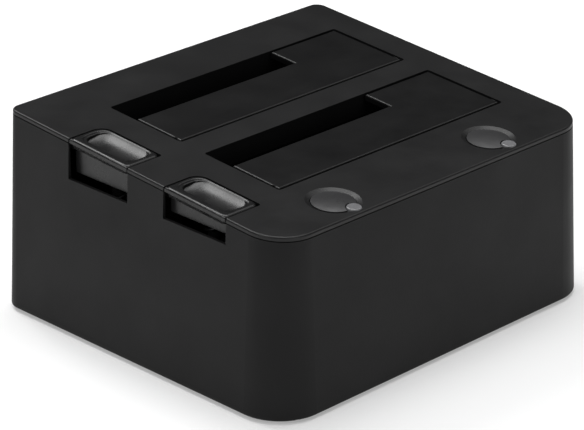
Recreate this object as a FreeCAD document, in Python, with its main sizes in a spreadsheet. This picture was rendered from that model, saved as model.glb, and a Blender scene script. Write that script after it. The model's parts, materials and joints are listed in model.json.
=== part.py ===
import FreeCAD, Part
import os
import Sketcher

# A two-bay drive dock and duplicator: a drafted lower shell, a sloping top cover with two long
# drive slots, a sprung L-shaped flap in each slot, an eject button and ejector lever for each
# bay, two round push-buttons with light pipes, and the boards and sockets they serve.
#
# Frame: X along the slots, -X the side with the eject buttons, -Y the front, +Z up, and the
# origin on the surface the feet stand on, under the middle of the body. "Deck" is the sloping
# top surface: it climbs towards the back, and the deck frame has X along the slots, Y up the
# slope and Z square to the surface, with its origin on the surface at the middle of the body.

doc = FreeCAD.newDocument("drive_dock")

# ---------------------------------------------------------------------------------------------
# Driving sizes, in millimetres and degrees
# ---------------------------------------------------------------------------------------------

SIZES = {
    # outside of the body, measured where the deck crosses the middle
    "body_width": 141.6,
    "body_depth": 123.4,
    "body_height": 64.4,
    "deck_slope": 4.17,
    "wall_draft": 2.5,
    "front_corner": 13.0,
    "rear_corner": 4.0,
    "shell_wall": 2.2,
    "foot_drop": 1.0,
    "bottom_edge_round": 0.8,
    # top cover
    "cover_thickness": 1.7,
    "cover_edge_round": 0.6,
    "seam_height": 0.35,
    "seam_depth": 0.7,
    "lip_depth": 3.0,
    "lip_wall": 1.4,
    "lip_relief": 3.0,
    "rib": 2.0,
    "seat_gap": 0.2,
    # what the deck leaves round the two drive slots, and between them
    "eject_side": 25.8,
    "plain_side": 12.6,
    "front_side": 26.0,
    "back_side": 20.1,
    "slot_bar": 10.5,
    "slot_corner": 1.0,
    "collar_wall": 2.4,
    "collar_depth": 6.0,
    "small_slot_length": 72.0,
    "small_slot_width": 12.0,
    # flaps, their pins and springs
    "flap_gap": 0.9,
    "flap_thickness": 2.0,
    "flap_edge_round": 0.7,
    "flap_barrel": 5.0,
    "hinge_pin": 2.0,
    "running_gap": 0.05,
    "flap_spring_length": 5.0,
    "flap_spring_d": 3.4,
    "flap_spring_wire": 0.4,
    "flap_spring_gap": 0.2,
    "flap_spring_inset": 8.0,
    "flap_spring_leg": 8.0,
    "flap_spring_turns": 4,
    # drive wells under the slots
    "well_wall": 1.6,
    "well_gap": 0.3,
    "well_floor": 1.6,
    "flange_reach": 6.6,
    "flange_thickness": 2.4,
    "flange_margin": 4.0,
    "flange_post_d": 5.6,
    "flange_screw_spacing": 24.0,
    # boards and connectors
    "base_thickness": 2.2,
    "standoff_height": 4.0,
    "standoff_d": 6.0,
    "board_thickness": 1.6,
    "board_side_gap": 2.0,
    "board_front_gap": 4.4,
    "board_back_gap": 1.6,
    "board_hole_inset": 5.0,
    "sata_length": 38.0,
    "sata_width": 6.4,
    "sata_height": 11.0,
    "sata_slot_width": 2.4,
    "sata_power_x0": -16.4,
    "sata_power_x1": 4.2,
    "sata_data_x0": 6.2,
    "sata_data_x1": 16.4,
    "sata_key": 1.4,
    "sata_key_reach": 1.0,
    "sata_from_slot_end": 24.0,
    "sata_from_slot_side": 6.0,
    "sata_over_floor": 4.2,
    # eject buttons
    "eject_reach": 14.2,
    "eject_cut_width": 27.6,
    "eject_cut_edge": 0.7,
    "eject_cut_relief": 2.4,
    "eject_side_gap": 0.5,
    "eject_corner": 4.5,
    "eject_front_corner": 1.0,
    "eject_cap_corner": 2.4,
    "eject_edge_round": 0.45,
    "eject_offset": 6.4,
    "eject_cut_drop": 11.3,
    "eject_body_drop": 9.6,
    "eject_wall": 1.6,
    "eject_stem": 4.0,
    "stem_inset": 5.7,
    "eject_travel": 5.0,
    "eject_cap_thickness": 4.6,
    "eject_stop_reach": 2.2,
    "eject_stop_width": 16.0,
    "scoop_length": 21.4,
    "scoop_width": 9.4,
    "scoop_depth": 2.6,
    "scoop_corner": 3.4,
    "scoop_round": 1.9,
    "scoop_shift": 1.0,
    "slide_gap": 0.4,
    "guide_gap": 0.2,
    "eject_spring_d": 6.4,
    "eject_spring_wire": 0.7,
    "eject_spring_turns": 6,
    "shelf_thickness": 2.0,
    "shelf_over_pivot": 14.5,
    "shelf_edge": 0.8,
    # ejector levers
    "lever_pivot_inset": 5.4,
    "lever_tip": 3.0,
    "lever_inner_arm": 10.8,
    "lever_thickness": 3.0,
    "lever_width": 9.4,
    "lever_hub": 6.0,
    "lever_tongue": 3.4,
    "lever_pin": 2.0,
    "lever_rest_gap": 0.4,
    "lever_side_gap": 0.3,
    "stem_gap": 0.3,
    "bracket_wall": 2.0,
    "bracket_depth": 6.0,
    # round push-buttons with their light pipes
    "push_button_d": 14.1,
    "push_button_gap": 0.3,
    "push_button_dome": 1.0,
    "push_button_edge": 0.4,
    "push_button_inset": 10.7,
    "power_button_x": 37.0,
    "copy_button_x": 34.0,
    "dish_width": 1.5,
    "dish_depth": 0.7,
    "push_flange": 1.0,
    "push_flange_reach": 1.1,
    "push_travel": 0.7,
    "push_stem": 4.4,
    "light_pipe_d": 5.0,
    "light_pipe_dx": 1.6,
    "light_pipe_dy": 7.2,
    "light_pipe_rise": 0.3,
    "light_pipe_stem": 2.2,
    "light_pipe_gap": 0.15,
    # button board hung under the cover
    "button_board_drop": 9.0,
    "button_board_length": 92.0,
    "button_board_width": 15.0,
    "button_board_shift": 0.9,
    "button_post_d": 5.0,
    "button_post_x": 22.0,
    "switch_side": 6.0,
    "switch_height": 3.5,
    "plunger_d": 3.4,
    "plunger_depth": 1.5,
    "plunger_rise": 0.5,
    "led_side": 2.4,
    "led_height": 1.4,
    "led_gap": 0.1,
    # corner screws and feet
    "corner_inset_x": 10.8,
    "corner_inset_y": 9.6,
    "boss_d": 7.0,
    "boss_split": 26.0,
    "screw_d": 3.0,
    "screw_head_d": 5.6,
    "screw_head_height": 1.3,
    "screw_head_recess": 1.4,
    "screw_slack": 0.4,
    "screw_bite": 10.0,
    "small_screw_d": 2.2,
    "small_head_d": 4.2,
    "small_head_height": 1.5,
    "small_screw_bite": 4.0,
    "board_screw_bite": 3.5,
    "foot_d": 10.0,
    "foot_recess": 0.8,
    "foot_inset_x": 22.0,
    "foot_inset_y": 12.0,
    "vent_width": 2.4,
    "vent_length": 26.0,
    "vent_pitch": 6.0,
    "vent_count": 7,
    # rear sockets, in a row from the +X end of the board
    "port_inset": 16.5,
    "port_pitch": 26.0,
    "dc_width": 9.0,
    "dc_height": 11.0,
    "dc_depth": 14.0,
    "dc_hole": 6.2,
    "dc_centre_pin": 2.1,
    "esata_width": 14.0,
    "esata_height": 5.8,
    "esata_depth": 13.0,
    "usb_width": 12.0,
    "usb_height": 13.0,
    "usb_depth": 16.0,
    "port_wall": 0.9,
    "port_gap": 0.3,
    "port_reach": 0.9,
    "port_tongue": 1.6,
    "port_tongue_share": 0.6,
    "port_floor": 3.0,
    "usb_corner": 2.0,
    # parts on the boards
    "chip_side": 14.0,
    "chip_height": 1.4,
    "chip_x": 35.0,
    "capacitor_d": 8.0,
    "capacitor_height": 11.0,
    "capacitor_pitch": 11.0,
    "coil_side": 7.0,
    "coil_height": 3.6,
    "coil_pitch": 10.5,
    "board_part_y": 10.0,
    "ribbon_width": 10.0,
    "ribbon_thickness": 0.5,
    "ribbon_x": 4.0,
    "ribbon_inset": 11.0,
    "ribbon_straight": 6.0,
    "socket_height": 4.0,
    "socket_depth": 3.6,
    "socket_end": 1.0,
}

# ---------------------------------------------------------------------------------------------
# Places worked out from the driving sizes
# ---------------------------------------------------------------------------------------------

PLACES = {
    "half_width": "Sizes.body_width / 2",
    "half_depth": "Sizes.body_depth / 2",
    "slope_sin": "sin(Sizes.deck_slope * 1 deg)",
    "slope_cos": "cos(Sizes.deck_slope * 1 deg)",
    "slope_tan": "tan(Sizes.deck_slope * 1 deg)",
    "draft_tan": "tan(Sizes.wall_draft * 1 deg)",
    "deck_z": "Sizes.foot_drop + Sizes.body_height",
    "flare": "Sizes.body_height * draft_tan",
    # a height above all of the deck, for cuts and blanks that run past it
    "clear_z": "deck_z + half_depth * slope_tan + margin / 2",
    "far": "Sizes.body_width + Sizes.body_depth",
    "margin": "12",
    "past": "1",
    "join": "0.2",
    # how far the walls lean in from the middle of the body to its back
    "lean": "half_depth * slope_tan * draft_tan",
    "lip_inset": "Sizes.shell_wall + Sizes.seat_gap + lean",
    "lip_x": "half_width - lip_inset",
    "lip_y0": "(lip_inset - half_depth) / slope_cos",
    "lip_y1": "(half_depth - lip_inset - (Sizes.cover_thickness + Sizes.lip_depth) * slope_sin) / slope_cos",
    "lip_rear_corner": "Sizes.rear_corner - Sizes.lip_wall",
    "cover_bottom": "-Sizes.cover_thickness",
    "collar_bottom": "cover_bottom - Sizes.collar_depth",
    # boards, from the base up
    "base_top": "Sizes.foot_drop + Sizes.base_thickness",
    "board_bottom": "base_top + Sizes.standoff_height",
    "board_top": "board_bottom + Sizes.board_thickness",
    "board_back": "half_depth - Sizes.shell_wall - Sizes.board_back_gap",
    "board_front": "Sizes.shell_wall + Sizes.board_front_gap - half_depth",
    "sata_top": "board_top + Sizes.sata_height",
    "floor_top": "sata_top - Sizes.sata_over_floor",
    "floor_bottom": "floor_top - Sizes.well_floor",
    # slots, in the deck frame: 103.2 by 33.4 in this body, for drives of 101.6 by 26.1 and a flap
    "slot_x0": "Sizes.eject_side - half_width",
    "slot_x1": "half_width - Sizes.plain_side",
    "slot_length": "slot_x1 - slot_x0",
    "half_slot": "(Sizes.body_depth - Sizes.front_side - Sizes.slot_bar - Sizes.back_side) / 4",
    "front_bay": "Sizes.front_side + half_slot - half_depth",
    "rear_bay": "half_depth - Sizes.back_side - half_slot",
    # flaps, in the deck frame of their bay
    "barrel_r": "Sizes.flap_barrel / 2",
    "hinge_y": "-half_slot + Sizes.flap_gap + barrel_r",
    "hinge_z": "-barrel_r",
    "flap_x0": "slot_x0 + Sizes.flap_gap",
    "flap_x1": "slot_x1 - Sizes.flap_gap",
    "small_x1": "slot_x0 + Sizes.small_slot_length",
    "small_y0": "half_slot - Sizes.small_slot_width",
    "spring_x1": "flap_x1 - Sizes.flap_spring_inset",
    "spring_x0": "spring_x1 - Sizes.flap_spring_length",
    "flap_y0": "-half_slot + Sizes.flap_gap",
    "flap_y1": "half_slot - Sizes.flap_gap",
    # wells, level; y counts from the middle of the bay
    "well_x0": "slot_x0 - Sizes.well_gap",
    "well_x1": "slot_x1 + Sizes.well_gap",
    "well_y0": "-half_slot - Sizes.well_gap",
    "well_y1": "half_slot + (Sizes.collar_depth + Sizes.cover_thickness) * slope_sin + Sizes.well_gap",
    "well_out_x0": "well_x0 - Sizes.well_wall",
    "well_out_x1": "well_x1 + Sizes.well_wall",
    "flange_x0": "well_out_x0 - Sizes.flange_reach",
    "flange_x1": "well_out_x1 + Sizes.flange_reach",
    "flange_screw_out": "Sizes.collar_wall + Sizes.flange_post_d / 2 - 2 * join",
    "flange_screw_x0": "slot_x0 - flange_screw_out",
    "flange_screw_x1": "slot_x1 + flange_screw_out",
    "flange_half": "Sizes.flange_screw_spacing / 2 + Sizes.flange_margin",
    "flange_bottom": "collar_bottom - Sizes.flange_thickness",
    "sata_x": "slot_x0 + Sizes.sata_from_slot_end",
    "sata_y": "half_slot - Sizes.sata_from_slot_side",
    # eject buttons, level; y counts from the middle of the bay
    "eject_y": "-Sizes.eject_offset",
    "eject_inner": "-half_width + Sizes.eject_reach",
    "eject_half": "Sizes.eject_cut_width / 2 - Sizes.eject_side_gap",
    "eject_cut_z": "deck_z - Sizes.eject_cut_drop",
    "eject_bottom": "deck_z - Sizes.eject_body_drop",
    "eject_face": "-half_width + Sizes.shell_wall + Sizes.slide_gap",
    # levers, level
    "pivot_x": "well_out_x0 - Sizes.lever_pivot_inset",
    "pivot_z": "floor_top + Sizes.lever_rest_gap + Sizes.lever_thickness / 2",
    "stem_x": "eject_face + Sizes.stem_inset",
    "outer_arm": "pivot_x - stem_x",
    "stem_bottom": "pivot_z + Sizes.lever_thickness / 2 + Sizes.stem_gap",
    "plate_y": "Sizes.lever_width / 2 + Sizes.lever_side_gap + Sizes.bracket_wall / 2",
    "bracket_half": "plate_y + Sizes.bracket_wall / 2",
    "shelf_top": "pivot_z + Sizes.shelf_over_pivot",
    "shelf_end": "stem_x - Sizes.eject_spring_d / 2 - Sizes.shelf_edge",
    "tongue_y0": "eject_y - Sizes.lever_width / 2",
    "tongue_y1": "half_slot - Sizes.well_wall",
    "tongue_lift": "Sizes.lever_inner_arm * Sizes.eject_travel / outer_arm",
    "window_top": "pivot_z + Sizes.lever_thickness / 2 + tongue_lift + past",
    # round push-buttons, in the deck frame
    "push_y": "-half_depth + Sizes.push_button_inset",
    "power_x": "-Sizes.power_button_x",
    "copy_x": "Sizes.copy_button_x",
    "push_r": "Sizes.push_button_d / 2",
    "push_hole_r": "push_r + Sizes.push_button_gap",
    "pipe_y": "push_y - Sizes.light_pipe_dy",
    "pipe_seat": "cover_bottom + Sizes.seat_gap / 2",
    "board_face": "-Sizes.button_board_drop",
    "button_board_y0": "push_y - Sizes.button_board_width / 2 - Sizes.button_board_shift",
    "button_board_y1": "button_board_y0 + Sizes.button_board_width",
    "switch_top": "board_face + Sizes.switch_height",
    "plunger_top": "switch_top + Sizes.push_travel + Sizes.plunger_rise",
    "push_flange_top": "cover_bottom - Sizes.seat_gap / 2",
    "push_flange_bottom": "push_flange_top - Sizes.push_flange",
    "led_top": "board_face + Sizes.led_height",
    "button_board_bottom": "board_face - Sizes.board_thickness",
    # corner screws and feet, level
    "corner_x": "half_width - Sizes.corner_inset_x",
    "corner_y": "half_depth - Sizes.corner_inset_y",
    "foot_x": "half_width - Sizes.foot_inset_x",
    "foot_y": "half_depth - Sizes.foot_inset_y",
    "head_seat": "Sizes.foot_drop + Sizes.screw_head_recess",
    "half_board": "corner_x - Sizes.boss_d / 2 - Sizes.board_side_gap",
    "board_hole_x": "half_board - Sizes.board_hole_inset",
    "board_hole_y0": "board_front + Sizes.board_hole_inset",
    "board_hole_y1": "board_back - Sizes.board_hole_inset",
    "board_part_y": "board_front + Sizes.board_part_y",
    "ribbon_y": "board_front + Sizes.ribbon_inset",
    # rear sockets, level
    "port_back": "half_depth + Sizes.port_reach",
    "dc_x": "half_board - Sizes.port_inset",
    "esata_x": "dc_x - Sizes.port_pitch",
    "usb_x": "esata_x - Sizes.port_pitch",
}

BAYS = {"front": "Places.front_bay", "rear": "Places.rear_bay"}
PUSH_BUTTONS = {"power": "Places.power_x", "copy": "Places.copy_x"}
PORTS = ("dc", "esata", "usb")
SIDES = ("-1", "1")
TOUCH = 0.01
SPRING_STEPS = 12
WIRE_SIDES = 6


def fill_sheet(name, rows):
    sheet = doc.addObject("Spreadsheet::Sheet", name)
    for row, (alias, content) in enumerate(rows.items(), start=1):
        sheet.set(f"A{row}", alias)
        sheet.set(f"B{row}", content)
        sheet.setAlias(f"B{row}", alias)
    return sheet


sizes = fill_sheet("Sizes", {alias: str(number) for alias, number in SIZES.items()})
places = fill_sheet("Places", {alias: "=" + formula for alias, formula in PLACES.items()})
doc.recompute()


def value(formula):
    """The number that a formula over the two sheets gives."""
    result = places.evalExpression(str(formula))
    return float(getattr(result, "Value", result))


# ---------------------------------------------------------------------------------------------
# Placements
# ---------------------------------------------------------------------------------------------

def level_at(x="0", y="0", z="0"):
    return f"placement(vector({x}; {y}; {z}); rotation(vector(1; 0; 0); 0))"


def deck_at(x="0", y="0", z="0"):
    """A point of the deck frame, with the axes of that frame."""
    across = f"({y}) * Places.slope_cos - ({z}) * Places.slope_sin"
    up = f"Places.deck_z + ({y}) * Places.slope_sin + ({z}) * Places.slope_cos"
    return f"placement(vector({x}; {across}; {up}); rotation(vector(1; 0; 0); Sizes.deck_slope))"


def in_bay(bay, z):
    """A plane parallel to the deck, for a body whose own frame is level at the middle of a bay."""
    across = f"-({z}) * Places.slope_sin"
    up = f"Places.deck_z + {bay} * Places.slope_sin + ({z}) * Places.slope_cos"
    return f"placement(vector(0; {across}; {up}); rotation(vector(1; 0; 0); Sizes.deck_slope))"


def bay_level(bay):
    """The level frame of a bay: the deck frame's height, counted from the feet."""
    return level_at(y=f"{bay} * Places.slope_cos")


# ---------------------------------------------------------------------------------------------
# Bodies, sketches and features
# ---------------------------------------------------------------------------------------------

def new_body(label, placement=None):
    body = doc.addObject("PartDesign::Body", label)
    body.Label = label
    if placement:
        body.setExpression("Placement", placement)
    return body


def sketch_on(body, role, offset=None):
    """A sketch on one of the body's own origin planes, moved by an offset placement."""
    sketch = body.newObject("Sketcher::SketchObject", f"{body.Name}_sketch")
    plane = next(o for o in body.Origin.OriginFeatures if o.Role == role)
    sketch.AttachmentSupport = [(plane, "")]
    sketch.MapMode = "FlatFace"
    if offset:
        sketch.setExpression("AttachmentOffset", offset)
    return sketch


def bind(sketch, constraint, formula):
    index = sketch.addConstraint(constraint)
    sketch.renameConstraint(index, f"size_{index}")
    sketch.setExpression(f"Constraints.size_{index}", formula)


def pin_point(sketch, geometry, point, x, y):
    """Hold a point of a sketch at two formulas."""
    bind(sketch, Sketcher.Constraint("DistanceX", -1, 1, geometry, point, value(x)), x)
    bind(sketch, Sketcher.Constraint("DistanceY", -1, 1, geometry, point, value(y)), y)


def polygon(sketch, corners):
    """A closed outline of straight lines through corners given as pairs of formulas."""
    points = [FreeCAD.Vector(value(x), value(y), 0) for x, y in corners]
    first = sketch.GeometryCount
    count = len(points)
    for i in range(count):
        sketch.addGeometry(Part.LineSegment(points[i], points[(i + 1) % count]))
    for i in range(count):
        following = first + (i + 1) % count
        sketch.addConstraint(Sketcher.Constraint("Coincident", first + i, 2, following, 1))
    for i, (x, y) in enumerate(corners):
        pin_point(sketch, first + i, 1, x, y)


def rectangle(sketch, x0, y0, x1, y1):
    polygon(sketch, [(x0, y0), (x1, y0), (x1, y1), (x0, y1)])


def rounded_rectangle(sketch, x0, y0, x1, y1, front_radius, rear_radius=None):
    """A rectangle with tangent arcs for corners; the y0 side may have another radius."""
    rear_radius = rear_radius or front_radius
    left, front, right, rear = value(x0), value(y0), value(x1), value(y1)
    rf, rr = value(front_radius), value(rear_radius)
    corners = [
        (right, front, -1, 1, rf, front_radius),
        (right, rear, -1, -1, rr, rear_radius),
        (left, rear, 1, -1, rr, rear_radius),
        (left, front, 1, 1, rf, front_radius),
    ]
    turn = FreeCAD.Units.Quantity("90 deg").getValueAs("rad").Value
    first = sketch.GeometryCount
    for i, (x, y, inward_x, inward_y, r, _) in enumerate(corners):
        centre = FreeCAD.Vector(x + inward_x * r, y + inward_y * r, 0)
        circle = Part.Circle(centre, FreeCAD.Vector(0, 0, 1), r)
        sketch.addGeometry(Part.ArcOfCircle(circle, (i - 1) * turn, i * turn))
    for i in range(4):
        start = sketch.getPoint(first + i, 2)
        end = sketch.getPoint(first + (i + 1) % 4, 1)
        sketch.addGeometry(Part.LineSegment(start, end))
    for i in range(4):
        line, following = first + 4 + i, first + (i + 1) % 4
        sketch.addConstraint(Sketcher.Constraint("Tangent", first + i, 2, line, 1))
        sketch.addConstraint(Sketcher.Constraint("Tangent", line, 2, following, 1))
        radius = Sketcher.Constraint("Radius", first + i, corners[i][4])
        bind(sketch, radius, corners[i][5])
    right_line, rear_line, left_line, front_line = range(first + 4, first + 8)
    for line in (right_line, left_line):
        sketch.addConstraint(Sketcher.Constraint("Vertical", line))
    sides = [
        ("DistanceX", right_line, x1), ("DistanceX", left_line, x0),
        ("DistanceY", rear_line, y1), ("DistanceY", front_line, y0),
    ]
    sketch.addConstraint(Sketcher.Constraint("Horizontal", rear_line))
    for kind, line, formula in sides:
        bind(sketch, Sketcher.Constraint(kind, -1, 1, line, 1, value(formula)), formula)


def circle(sketch, x, y, diameter):
    centre = FreeCAD.Vector(value(x), value(y), 0)
    index = sketch.addGeometry(Part.Circle(centre, FreeCAD.Vector(0, 0, 1), value(diameter) / 2))
    pin_point(sketch, index, 3, x, y)
    bind(sketch, Sketcher.Constraint("Diameter", index, value(diameter)), diameter)


def extrude(body, kind, sketch, length, reverse=False, both=False, taper=None):
    feature = body.newObject(f"PartDesign::{kind}", f"{body.Name}_{kind.lower()}")
    feature.Profile = sketch
    feature.setExpression("Length", length)
    feature.Reversed = reverse
    if both:
        feature.Midplane = True
    if taper:
        feature.setExpression("TaperAngle", taper)
    sketch.Visibility = False
    return feature


def pad(body, sketch, length, **options):
    return extrude(body, "Pad", sketch, length, **options)


def pocket(body, sketch, length, **options):
    return extrude(body, "Pocket", sketch, length, **options)


def box(name, placement, length, width, height):
    item = doc.addObject("Part::Box", name)
    item.Label = name
    item.setExpression("Length", length)
    item.setExpression("Width", width)
    item.setExpression("Height", height)
    item.setExpression("Placement", placement)
    return item


def cylinder(name, placement, radius, height):
    item = doc.addObject("Part::Cylinder", name)
    item.Label = name
    item.setExpression("Radius", radius)
    item.setExpression("Height", height)
    if placement:
        item.setExpression("Placement", placement)
    return item


def fuse(name, items):
    item = doc.addObject("Part::MultiFuse", name)
    item.Label = name
    item.Shapes = items
    return item


def group(name, items):
    """Several separate solids of one kind as one sub-part."""
    item = doc.addObject("Part::Compound", name)
    item.Label = name
    item.Links = items
    return item


def round_edges(body, keep, radius):
    """Round the edges of the body's last feature that a test picks out."""
    doc.recompute()
    tip = body.Tip
    names = [f"Edge{i}" for i, edge in enumerate(tip.Shape.Edges, start=1) if keep(edge)]
    if not names:
        raise ValueError(f"{body.Label}: no edge to round")
    feature = body.newObject("PartDesign::Fillet", f"{body.Name}_fillet")
    feature.Base = (tip, names)
    feature.setExpression("Radius", radius)
    doc.recompute()
    return feature


def outline(sketch, inset="0"):
    """The body's outline where its walls end at the bottom, or a line inside it by an inset."""
    x = f"Places.half_width + Places.flare - ({inset})"
    y = f"Places.half_depth + Places.flare - ({inset})"
    front = f"Sizes.front_corner + Places.flare - ({inset})"
    rear = f"Sizes.rear_corner + Places.flare - ({inset})"
    rounded_rectangle(sketch, f"-({x})", f"-({y})", x, y, front, rear)


# ---------------------------------------------------------------------------------------------
# Housing: lower shell, top cover, base plate, feet and corner screws
# ---------------------------------------------------------------------------------------------

def corners():
    """Where the corner screws are, level."""
    return [(f"{i} * Places.corner_x", f"{j} * Places.corner_y") for i in SIDES for j in SIDES]


def feet():
    return [(f"{i} * Places.foot_x", f"{j} * Places.foot_y") for i in SIDES for j in SIDES]


def board_holes():
    rows = ("Places.board_hole_y0", "Places.board_hole_y1")
    return [(f"{i} * Places.board_hole_x", y) for i in SIDES for y in rows]


def flange_screws(bay):
    """Where the screws of a well's flanges are, parallel to the deck, from a bay's middle."""
    ends = ("Places.flange_screw_x0", "Places.flange_screw_x1")
    return [(x, f"{bay} + {j} * Sizes.flange_screw_spacing / 2") for x in ends for j in SIDES]


def make_shell():
    body = new_body("lower_shell")
    blank = sketch_on(body, "XY_Plane", level_at(z="Sizes.foot_drop"))
    outline(blank)
    pad(body, blank, "Places.clear_z - Sizes.foot_drop", taper="-Sizes.wall_draft")
    above = sketch_on(body, "XY_Plane", deck_at(z="Places.cover_bottom"))
    rectangle(above, "-Places.far", "-Places.far", "Places.far", "Places.far")
    pocket(body, above, "Places.far", reverse=True)
    bottom = value("Sizes.foot_drop")
    round_edges(body, lambda e: e.BoundBox.ZMax < bottom + TOUCH, "Sizes.bottom_edge_round")
    hollow = sketch_on(body, "XY_Plane", level_at(z="Sizes.foot_drop"))
    outline(hollow, "Sizes.shell_wall")
    pocket(body, hollow, "Places.clear_z", reverse=True, taper="-Sizes.wall_draft")
    # ribs out to the side walls, and the bosses that they carry
    ribs = sketch_on(body, "XY_Plane", level_at(z="Places.base_top"))
    for x, y in corners():
        wall = x.replace("corner_x", "half_width")
        ends = sorted((x, wall), key=value)
        rectangle(ribs, ends[0], f"{y} - Sizes.rib / 2", ends[1], f"{y} + Sizes.rib / 2")
    pad(body, ribs, "Sizes.boss_split - Places.base_top - Sizes.rib")
    bosses = sketch_on(body, "XY_Plane", level_at(z="Places.base_top"))
    holes = sketch_on(body, "XY_Plane", level_at(z="Places.base_top"))
    for x, y in corners():
        circle(bosses, x, y, "Sizes.boss_d")
        circle(holes, x, y, "Sizes.screw_d + Sizes.screw_slack")
    pad(body, bosses, "Sizes.boss_split - Places.base_top")
    pocket(body, holes, "Sizes.boss_split", reverse=True)
    # cut-outs for the eject buttons in the -X wall, which is thinner round them
    cuts = sketch_on(body, "YZ_Plane", level_at(z="-Places.half_width - Places.margin"))
    thinner = sketch_on(body, "YZ_Plane", level_at(z="-Places.half_width + Sizes.eject_cut_edge"))
    for bay in BAYS.values():
        middle = f"{bay} * Places.slope_cos + Places.eject_y"
        for sketch, relief in ((cuts, "0"), (thinner, "Sizes.eject_cut_relief")):
            half = f"(Sizes.eject_cut_width / 2 + {relief})"
            rectangle(
                sketch, f"{middle} - {half}", f"Places.eject_cut_z - {relief}",
                f"{middle} + {half}", "Places.clear_z")
    pocket(body, cuts, "Places.margin + Sizes.shell_wall + 3 * Places.past", reverse=True)
    pocket(body, thinner, "Sizes.shell_wall + Places.past", reverse=True)
    # cut-outs for the sockets in the back wall
    cuts = sketch_on(body, "XZ_Plane", level_at(z="-Places.half_depth - Places.margin"))
    for port in PORTS:
        reach = f"Sizes.{port}_width / 2 + Sizes.port_gap"
        rectangle(
            cuts, f"Places.{port}_x - ({reach})", "Places.board_top - Sizes.port_gap",
            f"Places.{port}_x + {reach}", f"Places.board_top + Sizes.{port}_height + Sizes.port_gap")
    pocket(body, cuts, "Places.margin + Sizes.shell_wall + 3 * Places.past", reverse=True)
    return body


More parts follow.
